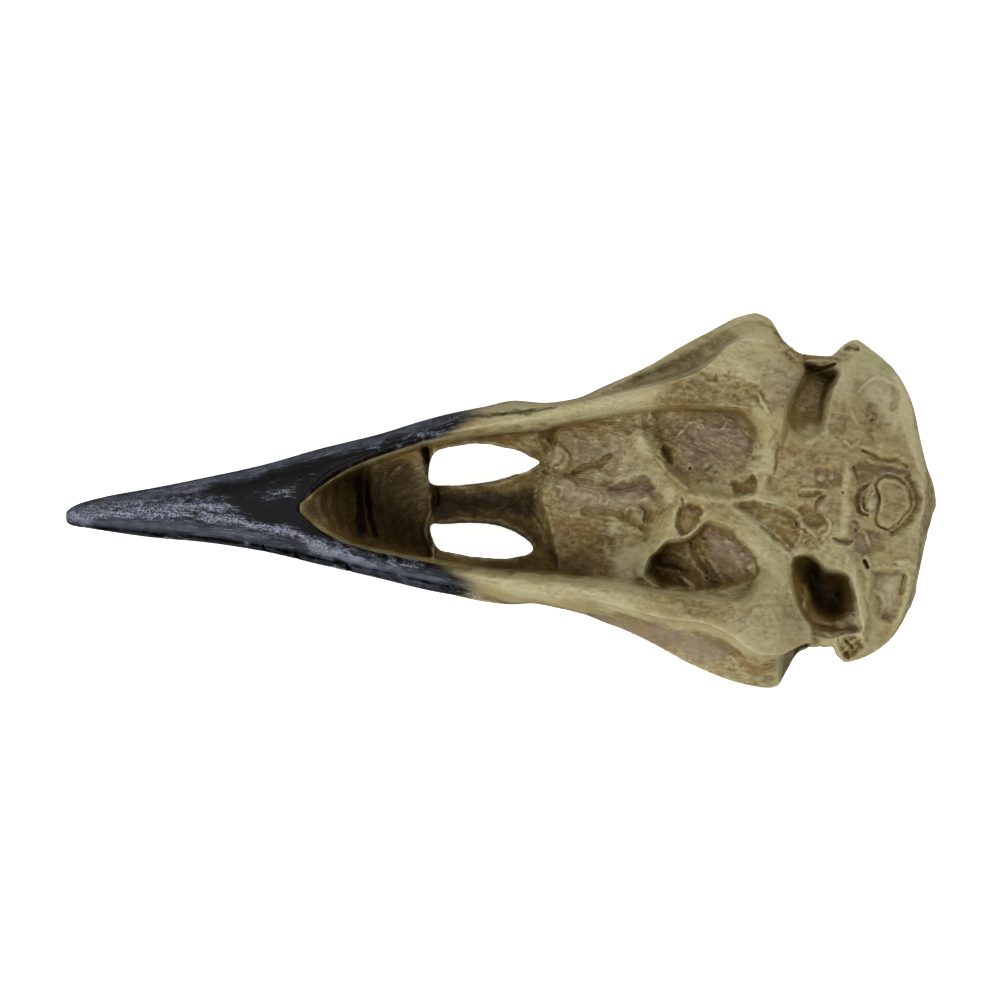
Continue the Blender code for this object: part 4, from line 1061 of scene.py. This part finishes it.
def store_paint(mesh, field, u, v):
    """Put the paints and the shape's own hollows and ridges on the skin's points."""
    points, normals, edges = points_of(mesh), normals_of(mesh), edges_of(mesh)
    pu, pv = plan_of(points)
    near = step(2.6, 1.0, sampled(field, pu, pv) - REST_DEPTH - points[:, 2])   # 0 down the sides
    behind = points[:, 0] - (FADE_X + FADE_SLANT * points[:, 2])
    beyond = {"horn": step(4, -4, behind), "silver_and_glint": SIDE_SILVER_AND_GLINTS, "painted_sheen": SIDE_PAINTED_SHEEN}
    for name, mask in paint_masks(u, v).items():
        store(mesh, name, sampled(mask, pu, pv) * near + beyond.get(name, 0) * (1 - near))
    clean = 1 - 0.8 * step(0, 5, curve(RIM_UP, pu) - pv) * step(*CHEEK_CLEAN, pu) * near
    bend = np.einsum('ij,ij->i', points - relaxed(points, edges, BEND_ROUNDS), normals)
    store(mesh, "fine_hollow", -bend / BEND * clean)
    store(mesh, "fine_ridge", bend / BEND)
    reach, depth = BOWL
    bowl = sampled(blurred(field, reach) - field, pu, pv) * near * clean
    socket = step(0.5, 4, curve(ROOF_HALF, points[:, 0]) - np.abs(points[:, 1] - SHIFT_Y)) * (1 - near)
    socket *= step(1.5, 4, points[:, 2]) * step(-2, 4, points[:, 0])
    store(mesh, "broad_hollow", bowl / depth + socket)


# ---- material ----
def tone(red, green, blue):
    """Linear colour of a paint given as it looks on a screen, 0 to 255."""
    c = np.array([red, green, blue]) / 255
    return (*np.where(c <= 0.04045, c / 12.92, ((c + 0.055) / 1.055) ** 2.4), 1)


OLIVE = tone(171, 163, 122)
SAND = tone(153, 138, 92)
BROWN_WASH = tone(118, 95, 48)
DEEP_WASH = tone(86, 65, 26)
# dark brown paint, and painted shade in the deepest holes and under overhangs
UMBER = tone(56, 40, 13)
LILAC = tone(146, 130, 112)
# ivory of the dry-brush, and of the painted highlights on fine ridges
IVORY = tone(200, 191, 152)
OCHRE = tone(122, 98, 50)
# near-black of the painted shade in the deepest holes
PITCH = tone(7, 5, 3)
BLACK = tone(6, 6, 9)
# gray of the painted sheen on the black bill
SHEEN_GRAY = tone(92, 97, 112)
# silvery paint, and the painted glints on the bill
STEEL = tone(172, 178, 198)
PAINTS = ("brown", "rose", "dark", "pale", "tan", "speck", "silver_and_glint", "painted_sheen", "horn",
          "fine_hollow", "fine_ridge", "broad_hollow")

# Noises: scale, detail and roughness
CLOUDS = (110.0, 3.0, 0.6)            # light and dark areas of the bone
STAINS = (210.0, 2.0, 0.6)            # where the wash is darker
MOTTLE = (520.0, 4.0, 0.75)           # grain of the washes
FLECKS = (1150.0, 2.0, 0.5)           # dark specks
BRUSH = (1800.0, 2.0, 0.65)           # brush marks on the bone
DUST = (4600.0, 1.0, 0.7)             # crumbs of the silver
WIDE_STREAKS = (9.0, 3.0, 0.7)        # strokes along the bill
NARROW_STREAKS = (42.0, 4.0, 0.78)
BILL_AXIS = 0.0085                    # height of the line about which the strokes lie, m
BILL_DRAW = 22.0                      # how densely they change along the bill
BRUSH_WANDER = 0.009                  # how far the brush marks stray, m


class Tree:
    """Short words for building one material's nodes."""

    def __init__(self, name):
        self.material = bpy.data.materials.new(name)
        self.material.use_nodes = True
        self.nodes = self.material.node_tree.nodes
        self.links = self.material.node_tree.links
        self.shader = self.nodes["Principled BSDF"]

    def add(self, kind, inputs, **settings):
        """New node with its settings, and each input either linked or set."""
        node = self.nodes.new(kind)
        for name, value in settings.items():
            setattr(node, name, value)
        for name, value in inputs.items():
            self.put(node.inputs[name], value)
        return node

    def put(self, socket, value):
        """Link an input or set its value."""
        if isinstance(value, bpy.types.NodeSocket):
            self.links.new(value, socket)
        else:
            socket.default_value = value

    def math(self, operation, a, b):
        """Result of a sum on two numbers."""
        return self.add("ShaderNodeMath", {0: a, 1: b}, operation=operation).outputs[0]

    def times(self, a, b):
        """a * b"""
        return self.math('MULTIPLY', a, b)

    def plus(self, a, b):
        """a + b"""
        return self.math('ADD', a, b)

    def minus(self, a, b):
        """a - b"""
        return self.math('SUBTRACT', a, b)

    def swayed(self, value, by, amount):
        """The value, moved up and down as another one leaves its middle of 0.5."""
        return self.plus(value, self.times(self.minus(by, 0.5), amount))

    def vector(self, operation, a, b=(0.0, 0.0, 0.0)):
        """Result of a sum on two vectors."""
        return self.add("ShaderNodeVectorMath", {0: a, 1: b}, operation=operation).outputs[0]

    def attribute(self, name):
        """Number kept on the mesh's points."""
        return self.add("ShaderNodeAttribute", {}, attribute_name=name).outputs["Fac"]

    def noise(self, vector, scale, detail=3.0, rough=0.55):
        """Noise from 0 to 1."""
        inputs = {"Vector": vector, "Scale": scale, "Detail": detail, "Roughness": rough}
        return self.add("ShaderNodeTexNoise", inputs).outputs["Fac"]

    def ramp(self, value, low, high):
        """0 at low, 1 at high, smooth between."""
        node = self.add("ShaderNodeMapRange", {"Value": value, "From Min": low, "From Max": high},
                        interpolation_type='SMOOTHSTEP')
        return node.outputs["Result"]

    def mix(self, amount, a, b):
        """Colour a, with b over it."""
        node = self.add("ShaderNodeMix", {}, data_type='RGBA')
        self.put(node.inputs[0], amount)
        self.put(node.inputs[6], a)
        self.put(node.inputs[7], b)
        return node.outputs[2]

    def glaze(self, colour, over, amount, strength):
        """The colour with another one over it, where `amount` says so and at most by `strength`."""
        return self.mix(self.times(amount, strength), colour, over)

    def blend(self, amount, a, b):
        """Number a, with b over it."""
        return self.add("ShaderNodeMix", {0: amount, 2: a, 3: b}).outputs[0]


def worn(tree, amount, grain, spread):
    """A paint's amount, broken up by a noise."""
    shifted = tree.swayed(amount, grain, spread * 2)
    return tree.times(tree.ramp(shifted, 0.25, 0.75), tree.ramp(amount, 0.0, 0.12))


def bill_streaks(tree, place):
    """Strokes along the bill: a noise wrapped about its axis and drawn out along it."""
    parts = tree.add("ShaderNodeSeparateXYZ", {0: place}).outputs
    height = tree.minus(parts[2], BILL_AXIS)
    flat = tree.add("ShaderNodeCombineXYZ", {0: 0.0, 1: parts[1], 2: height}).outputs[0]
    around = tree.vector('NORMALIZE', flat)
    along = tree.add("ShaderNodeCombineXYZ", {0: tree.times(parts[0], BILL_DRAW)}).outputs[0]
    vector = tree.vector('ADD', around, along)
    return tree.noise(vector, *WIDE_STREAKS), tree.noise(vector, *NARROW_STREAKS)


def brush_marks(tree, place):
    """Fine brush marks that run mostly along the head and wander a little."""
    waves = tree.add("ShaderNodeTexNoise", {"Vector": place, "Scale": 90.0, "Detail": 0.0})
    stray = {0: waves.outputs["Color"], 1: (BRUSH_WANDER,) * 3, 2: place}
    bent = tree.add("ShaderNodeVectorMath", stray, operation='MULTIPLY_ADD').outputs[0]
    return tree.noise(tree.vector('MULTIPLY', bent, (0.35, 1.0, 1.0)), *BRUSH)


def bone_colour(tree, place, paint, grain, brush):
    """Bone paint, brown wash, then lilac, the darkest paints with painted shade in the deepest holes,
    specks, and ivory on fine ridges that is both dry-brush and painted highlight.
    """
    colour = tree.mix(tree.ramp(tree.noise(place, *CLOUDS), 0.38, 0.64), OLIVE, SAND)
    mottle = tree.minus(tree.ramp(grain, 0.34, 0.66), 0.5)
    uneven = tree.plus(tree.times(mottle, 0.50), tree.times(tree.minus(brush, 0.5), 1.30))

    wash = tree.plus(tree.times(paint["brown"], 0.80), tree.times(paint["broad_hollow"], 0.35))
    wash = tree.plus(wash, 0.10)
    wash = tree.plus(wash, tree.times(uneven, tree.blend(tree.ramp(wash, 0.0, 0.5), 0.5, 1.0)))
    wash_tone = tree.mix(tree.ramp(tree.noise(place, *STAINS), 0.42, 0.66), BROWN_WASH, DEEP_WASH)
    colour = tree.mix(tree.ramp(wash, 0.0, 1.0), colour, wash_tone)

    lilac = tree.plus(paint["rose"], tree.times(uneven, 0.9))
    colour = tree.glaze(colour, LILAC, tree.ramp(lilac, 0.25, 1.1), 0.62)
    colour = tree.glaze(colour, OCHRE, worn(tree, paint["tan"], grain, 0.3), 0.8)
    # dark paint, and painted shade in the deepest holes and under overhangs
    colour = tree.glaze(colour, UMBER, worn(tree, paint["dark"], grain, 0.25), 0.80)
    # near-black where the dark amount is highest: painted shade in the deepest band of the spoon and the
    # core of the lower ear, dark paint along the middle of the bar
    colour = tree.glaze(colour, PITCH, tree.ramp(paint["dark"], 0.80, 1.0), 0.85)
    specks = tree.times(tree.ramp(tree.noise(place, *FLECKS), 0.56, 0.68), paint["speck"])
    colour = tree.glaze(colour, DEEP_WASH, specks, 0.7)
    colour = tree.glaze(colour, DEEP_WASH, paint["fine_hollow"], 0.45)

    # ivory on fine ridges: dry-brushed paint and painted highlight
    ridge_dry_brush_and_highlight = tree.times(paint["fine_ridge"], tree.ramp(grain, 0.35, 0.6))
    ridge_dry_brush_and_highlight = tree.times(ridge_dry_brush_and_highlight, tree.minus(0.5, tree.times(paint["dark"], 0.45)))
    colour = tree.mix(ridge_dry_brush_and_highlight, colour, IVORY)
    return tree.glaze(colour, IVORY, worn(tree, paint["pale"], grain, 0.5), 0.5)


def silver_and_glint_strokes(tree, place, paint, broad, narrow):
    """Where the silvery paint and its painted glints lie on the bill: in strokes that break up into
    crumbs.
    """
    crumbs = tree.ramp(tree.noise(place, *DUST), 0.42, 0.58)
    strokes = tree.swayed(narrow, broad, 0.5)
    strokes = tree.swayed(strokes, paint["silver_and_glint"], 0.40)
    return tree.times(tree.ramp(strokes, 0.47, 0.76), tree.plus(tree.times(crumbs, 0.8), 0.2))


def cast_material():
    """Painted resin: bone colours, brown washes in the hollows, and a black bill with silvery strokes,
    painted glints and a painted gray sheen.
    """
    tree = Tree("painted_resin")
    place = tree.add("ShaderNodeTexCoord", {}).outputs["Object"]
    paint = {name: tree.attribute(name) for name in PAINTS}
    grain = tree.noise(place, *MOTTLE)
    brush = brush_marks(tree, place)
    bone = bone_colour(tree, place, paint, grain, brush)

    broad, narrow = bill_streaks(tree, place)
    silver_and_glint = silver_and_glint_strokes(tree, place, paint, broad, narrow)
    # painted sheen: a gray reflection painted on the black of the bill, broken up by the narrow strokes
    sheen = tree.times(paint["painted_sheen"], tree.blend(tree.ramp(narrow, 0.36, 0.62), 0.30, 1.0))
    horn = tree.mix(silver_and_glint, tree.mix(sheen, BLACK, SHEEN_GRAY), STEEL)
    edge = tree.swayed(paint["horn"], broad, 0.35)
    black = tree.times(tree.ramp(edge, 0.10, 0.80), tree.ramp(paint["horn"], 0.0, 0.1))

    bone_gloss = tree.blend(grain, 0.34, 0.56)
    horn_gloss = tree.blend(narrow, 0.26, 0.42)
    height = tree.blend(paint["horn"], tree.plus(grain, brush), narrow)
    fine = tree.add("ShaderNodeBump", {"Height": height, "Strength": 0.8, "Distance": 0.00026})
    looks = {"Base Color": tree.mix(black, bone, horn),
             "Roughness": tree.blend(black, bone_gloss, horn_gloss),
             "Metallic": tree.times(tree.times(silver_and_glint, black), 0.4),
             "Specular IOR Level": 0.25,
             "Normal": fine.outputs["Normal"]}
    for name, value in looks.items():
        tree.put(tree.shader.inputs[name], value)
    return tree.material


def floor_material():
    """Pale matt board that keeps the object's own shadow soft."""
    tree = Tree("pale_floor")
    place = tree.add("ShaderNodeTexCoord", {}).outputs["Object"]
    shade = tree.mix(tree.noise(place, 40.0), tone(248, 248, 248), tone(252, 252, 252))
    tree.put(tree.shader.inputs["Base Color"], shade)
    tree.put(tree.shader.inputs["Emission Color"], (1, 1, 1, 1))
    seen = tree.add("ShaderNodeLightPath", {}).outputs["Is Camera Ray"]
    tree.put(tree.shader.inputs["Emission Strength"], tree.blend(seen, FLOOR_BOUNCE, FLOOR_GLOW))
    tree.shader.inputs["Roughness"].default_value = 0.9
    return tree.material


# ---- stage, light and camera ----
FLOOR_HALF = 3.0              # metres
FLOOR_Z = -0.00005
FLOOR_GLOW = 0.80             # light of the floor towards the camera and towards the object
FLOOR_BOUNCE = 0.15
HORIZON = 0.85                # sky along the horizon and overhead
ZENITH = 0.16
GROUND = 0.10                 # what the object mirrors of the floor
LENS = 1400.0
SENSOR = 36.0
PICTURE = 1000                # width and height of the picture in cells
MIDDLE = (500.0, 500.0)       # u, v in the middle of the picture
LAMP_AIM = (0, 0, 0.015)
# name, place, side and power of each lamp, in metres and watts
LAMPS = (("key", (-0.35, -0.40, 0.50), 0.30, 3.6),
         ("fill", (0.35, 0.38, 0.55), 0.40, 2.0))


def add_floor():
    """Wide board just below the head, which it doesn't mirror."""
    mesh = bpy.data.meshes.new("floor")
    corners = [(FLOOR_HALF * x, FLOOR_HALF * y, FLOOR_Z) for x, y in ((-1, -1), (1, -1), (1, 1), (-1, 1))]
    mesh.from_pydata(corners, [], [(0, 1, 2, 3)])
    floor = bpy.data.objects.new("floor", mesh)
    bpy.context.scene.collection.objects.link(floor)
    mesh.materials.append(floor_material())
    floor.visible_glossy = False


def add_light(name, place, size, power):
    """Soft square lamp that looks at the head."""
    light = bpy.data.lights.new(name, 'AREA')
    light.shape = 'SQUARE'
    light.size = size
    light.energy = power
    lamp = bpy.data.objects.new(name, light)
    bpy.context.scene.collection.objects.link(lamp)
    lamp.location = place
    aim = Vector(LAMP_AIM) - Vector(place)
    lamp.rotation_mode = 'QUATERNION'
    lamp.rotation_quaternion = aim.to_track_quat('-Z', 'Y')


def add_world():
    """Sky that is dark overhead and bright along the horizon, as a black ceiling over white walls."""
    world = bpy.data.worlds.new("studio")
    world.use_nodes = True
    nodes, links = world.node_tree.nodes, world.node_tree.links
    height = nodes.new("ShaderNodeSeparateXYZ")
    links.new(nodes.new("ShaderNodeTexCoord").outputs["Generated"], height.inputs[0])
    glow = nodes.new("ShaderNodeMapRange")
    glow.interpolation_type = 'SMOOTHERSTEP'
    links.new(height.outputs["Z"], glow.inputs["Value"])
    for name, value in (("From Min", 0.05), ("From Max", 0.85), ("To Min", HORIZON), ("To Max", ZENITH)):
        glow.inputs[name].default_value = value
    above = nodes.new("ShaderNodeMapRange")
    links.new(height.outputs["Z"], above.inputs["Value"])
    links.new(glow.outputs["Result"], above.inputs["To Max"])
    for name, value in (("From Min", -0.04), ("From Max", 0.02), ("To Min", GROUND)):
        above.inputs[name].default_value = value
    back = nodes["Background"]
    back.inputs["Color"].default_value = (1, 1, 1, 1)
    links.new(above.outputs["Result"], back.inputs["Strength"])
    bpy.context.scene.world = world


def add_camera():
    """Camera far above the head, leaning to -Y, with the picture's cells across it."""
    data = bpy.data.cameras.new("camera")
    data.lens = LENS
    data.sensor_width = SENSOR
    camera = bpy.data.objects.new("camera", data)
    bpy.context.scene.collection.objects.link(camera)
    aim = Vector(plan_point(*MIDDLE, LEVEL)) * 0.001
    back = Vector((0, -SLANT, 1)).normalized()
    distance = PICTURE * CELL * 0.001 * LENS / SENSOR
    camera.location = aim + back * distance
    camera.rotation_mode = 'QUATERNION'
    camera.rotation_quaternion = (-back).to_track_quat('-Z', 'Y')
    data.clip_end = distance * 2
    bpy.context.scene.camera = camera


def main():
    add_camera()
    u, v = plan_grid()
    field = relief(u, v)
    skin = make_skin(field)
    store_paint(skin.data, field, u, v)
    skin.data.materials.clear()
    skin.data.materials.append(cast_material())
    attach(skin, "root")
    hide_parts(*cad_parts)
    add_floor()
    add_world()
    for lamp in LAMPS:
        add_light(*lamp)
    bpy.context.scene.view_settings.view_transform = 'Standard'


main()
